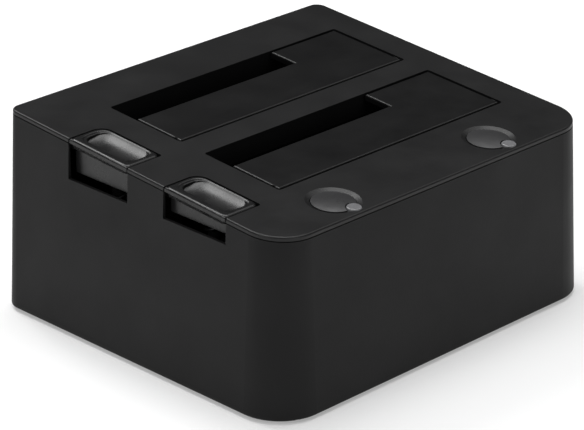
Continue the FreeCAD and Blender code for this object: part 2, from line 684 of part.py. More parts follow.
def make_cover():
    """The top cover, in the deck frame."""
    body = new_body("top_cover", deck_at())
    drop = "(Places.deck_z - Sizes.foot_drop)"
    level = (f"placement(vector(0; -{drop} * Places.slope_sin; -{drop} * Places.slope_cos);"
             " rotation(vector(1; 0; 0); -Sizes.deck_slope))")
    split = "(Places.deck_z - Sizes.boss_split)"
    level_split = level.replace(drop, split)
    blank = sketch_on(body, "XY_Plane", level)
    outline(blank)
    pad(body, blank, "Places.clear_z - Sizes.foot_drop", taper="-Sizes.wall_draft")
    below = sketch_on(body, "XY_Plane", level_at(z="Places.cover_bottom"))
    rectangle(below, "-Places.far", "-Places.far", "Places.far", "Places.far")
    pocket(body, below, "Places.far")
    # level posts that take the corner screws
    post = sketch_on(body, "XY_Plane", level_split)
    pilot = sketch_on(body, "XY_Plane", level_split)
    for x, y in corners():
        circle(post, x, y, "Sizes.boss_d")
        circle(pilot, x, y, "Sizes.screw_d")
    pad(body, post, "Places.clear_z - Sizes.boss_split")
    pocket(body, pilot, "Sizes.screw_bite + Places.past", reverse=True)
    above = sketch_on(body, "XY_Plane")
    rectangle(above, "-Places.far", "-Places.far", "Places.far", "Places.far")
    pocket(body, above, "Places.far", reverse=True)
    round_edges(body, lambda e: e.BoundBox.ZMin > -TOUCH, "Sizes.cover_edge_round")
    # a shadow line all round the seam
    seam = sketch_on(body, "XY_Plane", level_at(z="Places.cover_bottom"))
    rectangle(seam, "-Places.far", "-Places.far", "Places.far", "Places.far")
    x = "(Places.half_width - Sizes.seam_depth)"
    y = "(Places.half_depth - Sizes.seam_depth) / Places.slope_cos"
    rounded_rectangle(
        seam, f"-{x}", f"-{y}", x, y, "Sizes.front_corner - Sizes.seam_depth",
        "Sizes.rear_corner - Sizes.seam_depth")
    pocket(body, seam, "Sizes.seam_height", reverse=True)
    # locating lip inside the shell's walls
    lip = sketch_on(body, "XY_Plane", level_at(z="Places.cover_bottom"))
    for inset in ("0", "Sizes.lip_wall"):
        x = f"(Places.lip_x - {inset})"
        corner = f"Sizes.front_corner - Places.lip_inset - {inset}"
        rounded_rectangle(
            lip, f"-{x}", f"Places.lip_y0 + {inset}", x, f"Places.lip_y1 - {inset}",
            corner, "Places.lip_rear_corner")
    pad(body, lip, "Sizes.lip_depth", reverse=True)
    reliefs = sketch_on(body, "XY_Plane", level_at(z="Places.cover_bottom"))
    for x in PUSH_BUTTONS.values():
        reach = "Places.push_r + Sizes.lip_relief"
        rectangle(reliefs, f"{x} - ({reach})", "-Places.half_depth", f"{x} + {reach}", "Places.push_y")
    pocket(body, reliefs, "Sizes.lip_depth")
    # a collar under each slot, with posts beside it for the flange screws of the well
    collars = sketch_on(body, "XY_Plane", level_at(z="Places.cover_bottom"))
    flange_posts = sketch_on(body, "XY_Plane", level_at(z="Places.cover_bottom"))
    pilots = sketch_on(body, "XY_Plane", level_at(z="Places.collar_bottom"))
    for bay in BAYS.values():
        wall = "Sizes.collar_wall"
        rectangle(
            collars, f"Places.slot_x0 - {wall}", f"{bay} - Places.half_slot - {wall}",
            f"Places.slot_x1 + {wall}", f"{bay} + Places.half_slot + {wall}")
        for x, y in flange_screws(bay):
            circle(flange_posts, x, y, "Sizes.flange_post_d")
            circle(pilots, x, y, "Sizes.small_screw_d")
    pad(body, collars, "Sizes.collar_depth", reverse=True)
    pad(body, flange_posts, "Sizes.collar_depth", reverse=True)
    pocket(body, pilots, "Sizes.small_screw_bite + Places.past", reverse=True)
    slots = sketch_on(body, "XY_Plane", level_at(z="Places.past"))
    bores = sketch_on(body, "YZ_Plane", level_at(z="Places.slot_x0 - Sizes.collar_wall - Places.past"))
    for bay in BAYS.values():
        rounded_rectangle(
            slots, "Places.slot_x0", f"{bay} - Places.half_slot",
            "Places.slot_x1", f"{bay} + Places.half_slot", "Sizes.slot_corner")
        circle(bores, f"{bay} + Places.hinge_y", "Places.hinge_z", "Sizes.hinge_pin")
    pocket(body, slots, "2 * Places.past - Places.collar_bottom")
    pocket(body, bores, "Places.slot_length + 2 * Sizes.collar_wall + 2 * Places.past", reverse=True)
    # cut-outs for the eject buttons, open to the edge
    cuts = sketch_on(body, "XY_Plane", level_at(z="Places.past"))
    for bay in BAYS.values():
        middle = f"{bay} + Places.eject_y / Places.slope_cos"
        half = "Sizes.eject_cut_width / 2"
        rounded_rectangle(
            cuts, "-Places.half_width - Places.margin", f"{middle} - {half}",
            "Places.eject_inner + Sizes.eject_side_gap", f"{middle} + {half}",
            "Sizes.eject_front_corner", "Sizes.eject_corner")
    pocket(body, cuts, "Sizes.cover_thickness + Sizes.lip_depth + 2 * Places.past")
    # holes for the light pipes and the push-buttons, each button's with a dished rim
    pipes = sketch_on(body, "XY_Plane", level_at(z="Places.past"))
    buttons = sketch_on(body, "XY_Plane", level_at(z="Places.past"))
    for x in PUSH_BUTTONS.values():
        pipe_hole = "Sizes.light_pipe_d + 2 * Sizes.light_pipe_gap"
        circle(pipes, f"{x} + Sizes.light_pipe_dx", "Places.pipe_y", pipe_hole)
        circle(buttons, x, "Places.push_y", "2 * Places.push_hole_r")
    pocket(body, pipes, "Sizes.cover_thickness + 2 * Places.past")
    pocket(body, buttons, "Sizes.cover_thickness + 2 * Places.past")
    for name, x in PUSH_BUTTONS.items():
        dish = body.newObject("PartDesign::SubtractiveCone", f"{name}_dish")
        steepness = "Sizes.dish_width / Sizes.dish_depth"
        dish.setExpression("Radius1", f"Places.push_hole_r - Places.join * {steepness}")
        dish.setExpression("Radius2", "Places.push_hole_r + Sizes.dish_width")
        dish.setExpression("Height", "Sizes.dish_depth + Places.join")
        dish.setExpression("Placement", level_at(x, "Places.push_y", "-Sizes.dish_depth - Places.join"))
    # posts for the button board
    posts = sketch_on(body, "XY_Plane", level_at(z="Places.cover_bottom"))
    pilots = sketch_on(body, "XY_Plane", level_at(z="Places.board_face"))
    for side in SIDES:
        circle(posts, f"{side} * Sizes.button_post_x", "Places.push_y", "Sizes.button_post_d")
        circle(pilots, f"{side} * Sizes.button_post_x", "Places.push_y", "Sizes.small_screw_d")
    pad(body, posts, "Sizes.button_board_drop - Sizes.cover_thickness", reverse=True)
    pocket(body, pilots, "Sizes.small_screw_bite + Places.past", reverse=True)
    return body


def make_base():
    body = new_body("base_plate")
    blank = sketch_on(body, "XY_Plane", level_at(z="Sizes.foot_drop"))
    outline(blank, "Sizes.shell_wall + Sizes.seat_gap")
    pad(body, blank, "Sizes.base_thickness", taper="-Sizes.wall_draft")
    standoffs = sketch_on(body, "XY_Plane", level_at(z="Places.base_top"))
    pilots = sketch_on(body, "XY_Plane", level_at(z="Places.board_bottom"))
    for x, y in board_holes():
        circle(standoffs, x, y, "Sizes.standoff_d")
        circle(pilots, x, y, "Sizes.small_screw_d")
    pad(body, standoffs, "Sizes.standoff_height")
    pocket(body, pilots, "Sizes.small_screw_bite")
    through = sketch_on(body, "XY_Plane", level_at(z="Sizes.foot_drop"))
    recesses = sketch_on(body, "XY_Plane", level_at(z="Sizes.foot_drop"))
    for x, y in corners():
        circle(through, x, y, "Sizes.screw_d + Sizes.screw_slack")
        circle(recesses, x, y, "Sizes.screw_head_d + Sizes.screw_slack")
    pocket(body, through, "Sizes.base_thickness", reverse=True)
    pocket(body, recesses, "Sizes.screw_head_recess", reverse=True)
    foot_seats = sketch_on(body, "XY_Plane", level_at(z="Sizes.foot_drop"))
    for x, y in feet():
        circle(foot_seats, x, y, "Sizes.foot_d + Sizes.seat_gap")
    pocket(body, foot_seats, "Sizes.foot_recess", reverse=True)
    # a row of cooling slots under the board
    vent = sketch_on(body, "XY_Plane", level_at(z="Sizes.foot_drop"))
    row = "Sizes.vent_pitch * (Sizes.vent_count - 1)"
    radius = "Sizes.vent_width * 0.48"
    rounded_rectangle(
        vent, f"-{row} / 2 - Sizes.vent_width / 2", "-Sizes.vent_length / 2",
        f"-{row} / 2 + Sizes.vent_width / 2", "Sizes.vent_length / 2", radius)
    slot = pocket(body, vent, "Sizes.base_thickness", reverse=True)
    vents = body.newObject("PartDesign::LinearPattern", "vents")
    vents.Originals = [slot]
    vents.Direction = (vent, ["H_Axis"])
    vents.setExpression("Length", row)
    vents.setExpression("Occurrences", "Sizes.vent_count")
    body.Tip = vents
    return body


def make_feet():
    return group("rubber_feet", [
        cylinder(f"foot_{i}", level_at(x, y), "Sizes.foot_d / 2", "Sizes.foot_drop + Sizes.foot_recess")
        for i, (x, y) in enumerate(feet(), start=1)])


def screw(name, head_placement, shank_placement, size, length):
    """A screw whose head starts at one placement and whose shank starts at another."""
    head_d = "Sizes.screw_head_d" if size == "Sizes.screw_d" else "Sizes.small_head_d"
    head_height = head_d.replace("head_d", "head_height")
    head = cylinder(f"{name}_head", head_placement, f"{head_d} / 2", head_height)
    shank = cylinder(f"{name}_shank", shank_placement, f"{size} / 2", length)
    return fuse(name, [head, shank])


def make_corner_screws():
    screws = []
    for i, (x, y) in enumerate(corners(), start=1):
        head = level_at(x, y, "Places.head_seat - Sizes.screw_head_height")
        shank = level_at(x, y, "Places.head_seat")
        length = "Sizes.boss_split + Sizes.screw_bite - Places.head_seat"
        screws.append(screw(f"corner_screw_{i}", head, shank, "Sizes.screw_d", length))
    return group("corner_screws", screws)


# ---------------------------------------------------------------------------------------------
# Drive wells, their screws and the drive connectors
# ---------------------------------------------------------------------------------------------

def make_well(name, bay):
    """The well that guides a drive down to its connector, level, from the middle of the bay."""
    body = new_body(f"{name}_drive_well", bay_level(bay))
    wall = "Sizes.well_wall"
    blank = sketch_on(body, "XY_Plane", level_at(z="Places.floor_bottom"))
    rectangle(
        blank, "Places.well_out_x0", f"Places.well_y0 - {wall}",
        "Places.well_out_x1", f"Places.well_y1 + {wall}")
    pad(body, blank, "Places.clear_z - Places.floor_bottom")
    above = sketch_on(body, "XY_Plane", in_bay(bay, "Places.collar_bottom"))
    rectangle(above, "-Places.far", "-Places.far", "Places.far", "Places.far")
    pocket(body, above, "Places.far", reverse=True)
    flanges = sketch_on(body, "XY_Plane", in_bay(bay, "Places.collar_bottom"))
    half = "Places.flange_half"
    rectangle(flanges, "Places.flange_x0", f"-{half}", "Places.well_x0 - Places.join", half)
    rectangle(flanges, "Places.well_x1 + Places.join", f"-{half}", "Places.flange_x1", half)
    pad(body, flanges, "Sizes.flange_thickness", reverse=True)
    inside = sketch_on(body, "XY_Plane", level_at(z="Places.floor_top"))
    rectangle(inside, "Places.well_x0", "Places.well_y0", "Places.well_x1", "Places.well_y1")
    pocket(body, inside, "Places.clear_z", reverse=True)
    # bracket for the ejector: two cheeks and a shelf with a guide hole for the button's stem
    for side in SIDES:
        cheek_y = f"Places.eject_y + {side} * Places.plate_y"
        cheek = sketch_on(body, "XZ_Plane", level_at(z=f"-({cheek_y})"))
        polygon(cheek, [
            ("Places.well_x0 - Places.join", "Places.floor_bottom"),
            ("Places.pivot_x - Sizes.lever_hub / 2", "Places.floor_bottom"),
            ("Places.shelf_end", "Places.shelf_top - Sizes.bracket_depth"),
            ("Places.shelf_end", "Places.shelf_top"),
            ("Places.well_x0 - Places.join", "Places.shelf_top")])
        pad(body, cheek, "Sizes.bracket_wall", both=True)
    shelf = sketch_on(body, "XY_Plane", level_at(z="Places.shelf_top"))
    rectangle(
        shelf, "Places.shelf_end", "Places.eject_y - Places.bracket_half",
        "Places.well_x0 - Places.join", "Places.eject_y + Places.bracket_half")
    pad(body, shelf, "Sizes.shelf_thickness", reverse=True)
    guide = sketch_on(body, "XY_Plane", level_at(z="Places.shelf_top"))
    circle(guide, "Places.stem_x", "Places.eject_y", "Sizes.eject_stem + 2 * Sizes.guide_gap")
    pocket(body, guide, "Sizes.shelf_thickness")
    bore = sketch_on(body, "XZ_Plane", level_at(z="-Places.eject_y"))
    circle(bore, "Places.pivot_x", "Places.pivot_z", "Sizes.lever_pin")
    pocket(body, bore, "2 * Places.bracket_half", both=True)
    # windows for the drive connector in the floor and for the lever's tongue in the end wall
    window = sketch_on(body, "XY_Plane", level_at(z="Places.floor_top"))
    half_length = "Sizes.sata_length / 2 + Sizes.slide_gap"
    half_width = "Sizes.sata_width / 2 + Sizes.slide_gap"
    rectangle(
        window, f"Places.sata_x - ({half_length})", f"Places.sata_y - ({half_width})",
        f"Places.sata_x + {half_length}", f"Places.sata_y + {half_width}")
    pocket(body, window, "Sizes.well_floor")
    tongue = sketch_on(body, "YZ_Plane", level_at(z="Places.well_out_x0"))
    rectangle(
        tongue, "Places.tongue_y0 - Sizes.lever_side_gap", "Places.floor_top",
        "Places.tongue_y1 + Sizes.slide_gap", "Places.window_top")
    pocket(body, tongue, "Sizes.well_wall", reverse=True)
    screw_holes = sketch_on(body, "XY_Plane", in_bay(bay, "Places.collar_bottom"))
    for x, y in flange_screws("0"):
        circle(screw_holes, x, y, "Sizes.small_screw_d + Sizes.screw_slack")
    pocket(body, screw_holes, "Sizes.flange_thickness + Places.past")
    return body


def make_well_screws():
    screws = []
    for bay in BAYS.values():
        for x, y in flange_screws(bay):
            name = f"well_screw_{len(screws) + 1}"
            head = deck_at(x, y, "Places.flange_bottom - Sizes.small_head_height")
            shank = deck_at(x, y, "Places.flange_bottom")
            length = "Sizes.flange_thickness + Sizes.small_screw_bite"
            screws.append(screw(name, head, shank, "Sizes.small_screw_d", length))
    return group("well_screws", screws)


def make_drive_connector(name, bay):
    """The upright receptacle that a drive plugs down on to."""
    across = f"{bay} * Places.slope_cos + Places.sata_y"
    body = new_body(f"{name}_drive_connector", level_at("Places.sata_x", across, "Places.board_top"))
    blank = sketch_on(body, "XY_Plane")
    rectangle(
        blank, "-Sizes.sata_length / 2", "-Sizes.sata_width / 2",
        "Sizes.sata_length / 2", "Sizes.sata_width / 2")
    pad(body, blank, "Sizes.sata_height")
    # the power and the data slot, each with its keyed end
    mouths = sketch_on(body, "XY_Plane", level_at(z="Sizes.sata_height"))
    half = "Sizes.sata_slot_width / 2"
    for slot in ("power", "data"):
        x0, x1 = f"Sizes.sata_{slot}_x0", f"Sizes.sata_{slot}_x1"
        polygon(mouths, [
            (x0, f"-{half}"), (x1, f"-{half}"), (x1, half), (f"{x0} + Sizes.sata_key", half),
            (f"{x0} + Sizes.sata_key", f"{half} + Sizes.sata_key_reach"),
            (x0, f"{half} + Sizes.sata_key_reach")])
    pocket(body, mouths, "Sizes.sata_height / 2")
    return body


# ---------------------------------------------------------------------------------------------
# Flaps with their pins and springs
# ---------------------------------------------------------------------------------------------

def make_flap(name, bay):
    """The L-shaped flap that fills the slot round the small opening, in its bay's deck frame."""
    body = new_body(f"{name}_flap", deck_at(y=bay))
    plate = sketch_on(body, "XY_Plane", level_at(z="-Sizes.flap_thickness"))
    polygon(plate, [
        ("Places.flap_x0", "Places.flap_y0"), ("Places.flap_x1", "Places.flap_y0"),
        ("Places.flap_x1", "Places.flap_y1"), ("Places.small_x1", "Places.flap_y1"),
        ("Places.small_x1", "Places.small_y0"), ("Places.flap_x0", "Places.small_y0")])
    pad(body, plate, "Sizes.flap_thickness")
    round_edges(body, lambda e: e.BoundBox.ZMin > -TOUCH, "Sizes.flap_edge_round")
    barrel = sketch_on(body, "YZ_Plane", level_at(z="Places.flap_x0"))
    circle(barrel, "Places.hinge_y", "Places.hinge_z", "Sizes.flap_barrel")
    pad(body, barrel, "Places.flap_x1 - Places.flap_x0")
    bore = sketch_on(body, "YZ_Plane", level_at(z="Places.flap_x0"))
    circle(bore, "Places.hinge_y", "Places.hinge_z", "Sizes.hinge_pin + 2 * Sizes.running_gap")
    pocket(body, bore, "Places.flap_x1 - Places.flap_x0", reverse=True)
    # the room for the spring, open underneath
    reach = "Sizes.flap_spring_d / 2 + Sizes.flap_spring_gap"
    room = sketch_on(body, "YZ_Plane", level_at(z="Places.spring_x0"))
    circle(room, "Places.hinge_y", "Places.hinge_z", f"2 * ({reach})")
    pocket(body, room, "Sizes.flap_spring_length", reverse=True)
    mouth = sketch_on(body, "YZ_Plane", level_at(z="Places.spring_x0"))
    rectangle(
        mouth, f"Places.hinge_y - ({reach})", "2 * Places.hinge_z - Places.past",
        "Places.hinge_y + Places.barrel_r + Places.past", "Places.hinge_z")
    pocket(body, mouth, "Sizes.flap_spring_length", reverse=True)
    return body


def make_flap_pin(name, bay):
    """The hinge pin, end to end through the collar."""
    pin = cylinder(
        f"{name}_flap_pin", None, "Sizes.hinge_pin / 2", "Places.slot_length + 2 * Sizes.collar_wall")
    y = f"{bay} + Places.hinge_y"
    across = f"({y}) * Places.slope_cos - Places.hinge_z * Places.slope_sin"
    up = f"Places.deck_z + ({y}) * Places.slope_sin + Places.hinge_z * Places.slope_cos"
    start = f"vector(Places.slot_x0 - Sizes.collar_wall; {across}; {up})"
    pin.setExpression("Placement", f"placement({start}; rotation(vector(0; 1; 0); 90))")
    return pin


def helix_points(mean_radius, pitch, turns):
    """Points along a helix about Z, from its foot on the X axis."""
    steps = SPRING_STEPS * turns
    turn = FreeCAD.Rotation(FreeCAD.Vector(0, 0, 1), 360 / SPRING_STEPS)
    arm = FreeCAD.Vector(mean_radius, 0, 0)
    points = []
    for i in range(steps + 1):
        points.append(arm + FreeCAD.Vector(0, 0, pitch * i / SPRING_STEPS))
        arm = turn.multVec(arm)
    return points


def bent_wire(points, wire):
    """A spring wire through the points: six flat sides, mitred where it bends."""
    along = (points[1] - points[0]).normalize()
    across = along.cross(points[0]).normalize() * (wire / 2)
    ring = [
        points[0] + FreeCAD.Rotation(along, 360 * i / WIRE_SIDES).multVec(across)
        for i in range(WIRE_SIDES)]
    faces = [Part.Face(Part.makePolygon(ring + ring[:1]))]
    for i in range(1, len(points)):
        along = (points[i] - points[i - 1]).normalize()
        mitre = along
        if i + 1 < len(points):
            mitre = along + (points[i + 1] - points[i]).normalize()
        reach = [(points[i] - p).dot(mitre) / along.dot(mitre) for p in ring]
        following = [p + along * r for p, r in zip(ring, reach)]
        for j in range(WIRE_SIDES):
            k = (j + 1) % WIRE_SIDES
            side = [ring[j], ring[k], following[k], following[j], ring[j]]
            faces.append(Part.Face(Part.makePolygon(side)))
        ring = following
    faces.append(Part.Face(Part.makePolygon(ring + ring[:1])))
    return Part.Solid(Part.Shell(faces))


def make_flap_spring(name, bay):
    """The coil round the hinge pin, with a leg that bears on the underside of the flap."""
    wire = value("Sizes.flap_spring_wire")
    mean_radius = value("Sizes.flap_spring_d / 2") - wire / 2
    length = value("Sizes.flap_spring_length - Sizes.flap_spring_gap") - wire
    turns = SIZES["flap_spring_turns"]
    points = helix_points(mean_radius, length / turns, turns)
    lie_down = FreeCAD.Rotation(FreeCAD.Vector(0, 1, 0), 90)
    points = [lie_down.multVec(p) + FreeCAD.Vector(wire / 2, 0, 0) for p in points]
    under = value("Places.barrel_r - Sizes.flap_thickness") - wire / 2
    points.append(FreeCAD.Vector(length + wire / 2, value("Sizes.flap_spring_leg"), under))
    spring = doc.addObject("Part::Feature", f"{name}_flap_spring")
    spring.Label = f"{name}_flap_spring"
    spring.Shape = bent_wire(points, wire)
    spring.setExpression("Placement", deck_at(
        "Places.spring_x0 + Sizes.flap_spring_gap / 2", f"{bay} + Places.hinge_y", "Places.hinge_z"))
    return spring


# ---------------------------------------------------------------------------------------------
# Eject buttons, springs and levers
# ---------------------------------------------------------------------------------------------

def cap_ceiling(bay):
    """The level underside of an eject button's top, under the lower side of its slope."""
    low = f"({bay} * Places.slope_cos + Places.eject_y - Places.eject_half)"
    return f"Places.deck_z + {low} * Places.slope_tan - Sizes.eject_cap_thickness"


def make_eject_button(name, bay):
    """A hollow button flush with the deck and, at its rim, with the wall; level, from the bay."""
    body = new_body(f"{name}_eject_button", bay_level(bay))
    y0 = "Places.eject_y - Places.eject_half"
    y1 = "Places.eject_y + Places.eject_half"
    blank = sketch_on(body, "XY_Plane", level_at(z="Places.eject_bottom"))
    rounded_rectangle(
        blank, "-Places.half_width - Places.margin", y0, "Places.eject_inner", y1,
        "Sizes.eject_cap_corner", "Sizes.eject_corner - Sizes.eject_side_gap")
    pad(body, blank, "Places.clear_z - Places.eject_bottom")
    stop = sketch_on(body, "XY_Plane", level_at(z="Places.eject_bottom"))
    half_stop = "Sizes.eject_stop_width / 2"
    rectangle(
        stop, "Places.eject_inner - Places.past", f"Places.eject_y - {half_stop}",
        "Places.eject_inner + Sizes.eject_stop_reach", f"Places.eject_y + {half_stop}")
    pad(body, stop, "Places.clear_z - Places.eject_bottom")
    above = sketch_on(body, "XY_Plane", in_bay(bay, "0"))
    rectangle(above, "-Places.far", "-Places.far", "Places.far", "Places.far")
    pocket(body, above, "Places.far", reverse=True)
    over_stop = sketch_on(body, "XY_Plane", in_bay(bay, "Places.cover_bottom - Sizes.slide_gap"))
    rectangle(over_stop, "Places.eject_inner", "-Places.far", "Places.far", "Places.far")
    pocket(body, over_stop, "Places.far", reverse=True)
    # the outer side: the rim in the plane of the wall, the rest set back behind the wall
    outer = sketch_on(body, "XZ_Plane", level_at(z="-Places.eject_y"))
    low = "(Places.eject_bottom - Places.past)"
    polygon(outer, [
        ("-Places.far", low),
        (f"-Places.half_width - (Places.deck_z - {low}) * Places.draft_tan", low),
        ("-Places.half_width - (Places.deck_z - Places.clear_z) * Places.draft_tan", "Places.clear_z"),
        ("-Places.far", "Places.clear_z")])
    pocket(body, outer, "2 * Sizes.eject_cut_width", both=True)
    face = sketch_on(body, "YZ_Plane", level_at(z="-Places.half_width - Places.margin"))
    y_low, y_high = f"{y0} - Places.past", f"{y1} + Places.past"
    seam = "Places.deck_z + ({bay} * Places.slope_cos + {y}) * Places.slope_tan - {rim}"
    rim = "(Sizes.cover_thickness - Sizes.seam_height) / Places.slope_cos"
    polygon(face, [
        (y_low, low), (y_high, low),
        (y_high, seam.format(bay=bay, y=y_high, rim=rim)),
        (y_low, seam.format(bay=bay, y=y_low, rim=rim))])
    pocket(body, face, "Places.margin + Sizes.shell_wall + Sizes.slide_gap", reverse=True)
    # finger scoop with a rounded floor, and the rounded rim of the top
    scoop = sketch_on(body, "XY_Plane", in_bay(bay, "0"))
    scoop_x = "(Places.eject_inner - Sizes.eject_reach / 2 + Sizes.scoop_shift)"
    scoop_y = "Places.eject_y / Places.slope_cos"
    half_length, half_width = "Sizes.scoop_length / 2", "Sizes.scoop_width / 2"
    rounded_rectangle(
        scoop, f"{scoop_x} - {half_width}", f"{scoop_y} - {half_length}",
        f"{scoop_x} + {half_width}", f"{scoop_y} + {half_length}", "Sizes.scoop_corner")
    pocket(body, scoop, "Sizes.scoop_depth")
    rise = value("Places.slope_tan")
    for depth, radius in (("Sizes.scoop_depth", "Sizes.scoop_round"), ("0", "Sizes.eject_edge_round")):
        level = value(f"Places.deck_z + {bay} * Places.slope_sin - {depth} / Places.slope_cos")
        round_edges(
            body, lambda e: all(abs(v.Z - level - v.Y * rise) < TOUCH for v in e.Vertexes), radius)
    # hollow underside, and the stem with its round end
    hollow = sketch_on(body, "XY_Plane", level_at(z="Places.eject_bottom"))
    wall = "Sizes.eject_wall"
    rectangle(
        hollow, f"Places.eject_face + {wall}", f"{y0} + {wall}",
        f"Places.eject_inner - {wall}", f"{y1} - {wall}")
    pocket(body, hollow, f"{cap_ceiling(bay)} - Places.eject_bottom", reverse=True)
    stem_end = "Places.stem_bottom + Sizes.eject_stem / 2"
    stem = sketch_on(body, "XY_Plane", level_at(z=stem_end))
    circle(stem, "Places.stem_x", "Places.eject_y", "Sizes.eject_stem")
    pad(body, stem, f"{cap_ceiling(bay)} + Places.past - ({stem_end})")
    end = body.newObject("PartDesign::AdditiveSphere", f"{body.Name}_end")
    end.setExpression("Radius", "Sizes.eject_stem / 2")
    end.setExpression("Placement", level_at("Places.stem_x", "Places.eject_y", stem_end))
    return body


def make_eject_spring(name, bay):
    wire = value("Sizes.eject_spring_wire")
    mean_radius = value("Sizes.eject_spring_d / 2") - wire / 2
    rise = value(f"{cap_ceiling(bay)} - Places.shelf_top") - 2 * wire
    turns = SIZES["eject_spring_turns"]
    points = [
        p + FreeCAD.Vector(0, 0, wire) for p in helix_points(mean_radius, rise / turns, turns)]
    spring = doc.addObject("Part::Feature", f"{name}_eject_spring")
    spring.Label = f"{name}_eject_spring"
    spring.Shape = bent_wire(points, wire)
    across = f"{bay} * Places.slope_cos + Places.eject_y"
    spring.setExpression("Placement", level_at("Places.stem_x", across, "Places.shelf_top"))
    return spring


def make_lever(name, bay):
    """The ejector lever, from its pivot: one arm under the stem, one with a tongue in the well."""
    across = f"{bay} * Places.slope_cos + Places.eject_y"
    body = new_body(f"{name}_ejector_lever", level_at("Places.pivot_x", across, "Places.pivot_z"))
    half = "Sizes.lever_thickness / 2"
    arm = sketch_on(body, "XZ_Plane")
    rectangle(
        arm, "-Places.outer_arm - Sizes.lever_tip", f"-{half}", "Sizes.lever_inner_arm", half)
    pad(body, arm, "Sizes.lever_width", both=True)
    hub = sketch_on(body, "XZ_Plane")
    circle(hub, "0", "0", "Sizes.lever_hub")
    pad(body, hub, "Sizes.lever_width", both=True)
    tongue = sketch_on(body, "XY_Plane", level_at(z=f"-{half}"))
    rectangle(
        tongue, "Sizes.lever_inner_arm - Sizes.lever_tongue", "Places.tongue_y0 - Places.eject_y",
        "Sizes.lever_inner_arm", "Places.tongue_y1 - Places.eject_y")
    pad(body, tongue, "Sizes.lever_thickness")
    bore = sketch_on(body, "XZ_Plane")
    circle(bore, "0", "0", "Sizes.lever_pin + 2 * Sizes.running_gap")
    pocket(body, bore, "Sizes.lever_width", both=True)
    return body


def make_lever_pin(name, bay):
    pin = cylinder(f"{name}_lever_pin", None, "Sizes.lever_pin / 2", "2 * Places.bracket_half")
    across = f"{bay} * Places.slope_cos + Places.eject_y + Places.bracket_half"
    pin.setExpression("Placement", (
        f"placement(vector(Places.pivot_x; {across}; Places.pivot_z); rotation(vector(1; 0; 0); 90))"))
    return pin


# ---------------------------------------------------------------------------------------------
# Push-buttons, light pipes and the button board
# ---------------------------------------------------------------------------------------------

def make_push_button(name, x):
    """A domed round button with a flange under the cover and a notch for its light pipe."""
    body = new_body(f"{name}_button", deck_at(x, "Places.push_y"))
    profile = sketch_on(body, "XZ_Plane")
    edge, stem_r = "-Sizes.push_button_edge", "Sizes.push_stem / 2"
    flange_r = "Places.push_r + Sizes.push_flange_reach"
    polygon(profile, [
        ("0", "Places.plunger_top"), (stem_r, "Places.plunger_top"),
        (stem_r, "Places.push_flange_bottom"), (flange_r, "Places.push_flange_bottom"),
        (flange_r, "Places.push_flange_top"), ("Places.push_r", "Places.push_flange_top"),
        ("Places.push_r", edge), ("0", edge)])
    turn = body.newObject("PartDesign::Revolution", f"{body.Name}_turn")
    turn.Profile = profile
    turn.ReferenceAxis = (profile, ["V_Axis"])
    turn.Angle = 360
    profile.Visibility = False
    # the dome is the cap of a sphere, cut off level with the button's edge
    dome_r = "(Places.push_r ^ 2 + Sizes.push_button_dome ^ 2) / (2 * Sizes.push_button_dome)"
    dome = body.newObject("PartDesign::AdditiveSphere", f"{body.Name}_dome")
    dome.setExpression("Radius", dome_r)
    dome.setExpression("Angle1", f"asin(({dome_r} - Sizes.push_button_dome) / ({dome_r}))")
    dome.setExpression("Placement", level_at(z=f"{edge} + Sizes.push_button_dome - {dome_r}"))
    notch = sketch_on(body, "XY_Plane", level_at(z="Sizes.push_button_dome"))
    gap = "Sizes.light_pipe_d + 2 * Sizes.push_button_gap"
    circle(notch, "Sizes.light_pipe_dx", "-Sizes.light_pipe_dy", gap)
    pocket(body, notch, "Sizes.push_button_dome - Places.push_flange_bottom")
    return body


def make_plunger(name, x):
    bottom = "Places.switch_top - Sizes.plunger_depth"
    return cylinder(
        f"{name}_plunger", deck_at(x, "Places.push_y", bottom), "Sizes.plunger_d / 2",
        f"Places.plunger_top - ({bottom})")


def make_switch(name, x):
    body = new_body(f"{name}_switch", deck_at(x, "Places.push_y", "Places.board_face"))
    half = "Sizes.switch_side / 2"
    blank = sketch_on(body, "XY_Plane")
    rectangle(blank, f"-{half}", f"-{half}", half, half)
    pad(body, blank, "Sizes.switch_height")
    guide = sketch_on(body, "XY_Plane", level_at(z="Sizes.switch_height"))
    circle(guide, "0", "0", "Sizes.plunger_d + 2 * Sizes.guide_gap")
    pocket(body, guide, "Sizes.plunger_depth + Sizes.push_travel + Sizes.guide_gap")
    return body


def make_light_pipe(name, x):
    body = new_body(f"{name}_light_pipe", deck_at(f"{x} + Sizes.light_pipe_dx", "Places.pipe_y"))
    head = sketch_on(body, "XY_Plane", level_at(z="Places.pipe_seat"))
    circle(head, "0", "0", "Sizes.light_pipe_d")
    pad(body, head, "Sizes.light_pipe_rise - Places.pipe_seat")
    top = value("Sizes.light_pipe_rise")
    round_edges(body, lambda e: e.BoundBox.ZMin > top - TOUCH, "Sizes.light_pipe_rise * 2")
    stem = sketch_on(body, "XY_Plane", level_at(z="Places.led_top + Sizes.led_gap"))
    circle(stem, "0", "0", "Sizes.light_pipe_stem")
    pad(body, stem, "Places.pipe_seat + Places.join - Places.led_top - Sizes.led_gap")
    return body


def make_button_board():
    body = new_body("button_board", deck_at(z="Places.button_board_bottom"))
    blank = sketch_on(body, "XY_Plane")
    rectangle(
        blank, "-Sizes.button_board_length / 2", "Places.button_board_y0",
        "Sizes.button_board_length / 2", "Places.button_board_y1")
    pad(body, blank, "Sizes.board_thickness")
    holes = sketch_on(body, "XY_Plane")
    for side in SIDES:
        hole_d = "Sizes.small_screw_d + Sizes.screw_slack"
        circle(holes, f"{side} * Sizes.button_post_x", "Places.push_y", hole_d)
    pocket(body, holes, "Sizes.board_thickness", reverse=True)
    return body


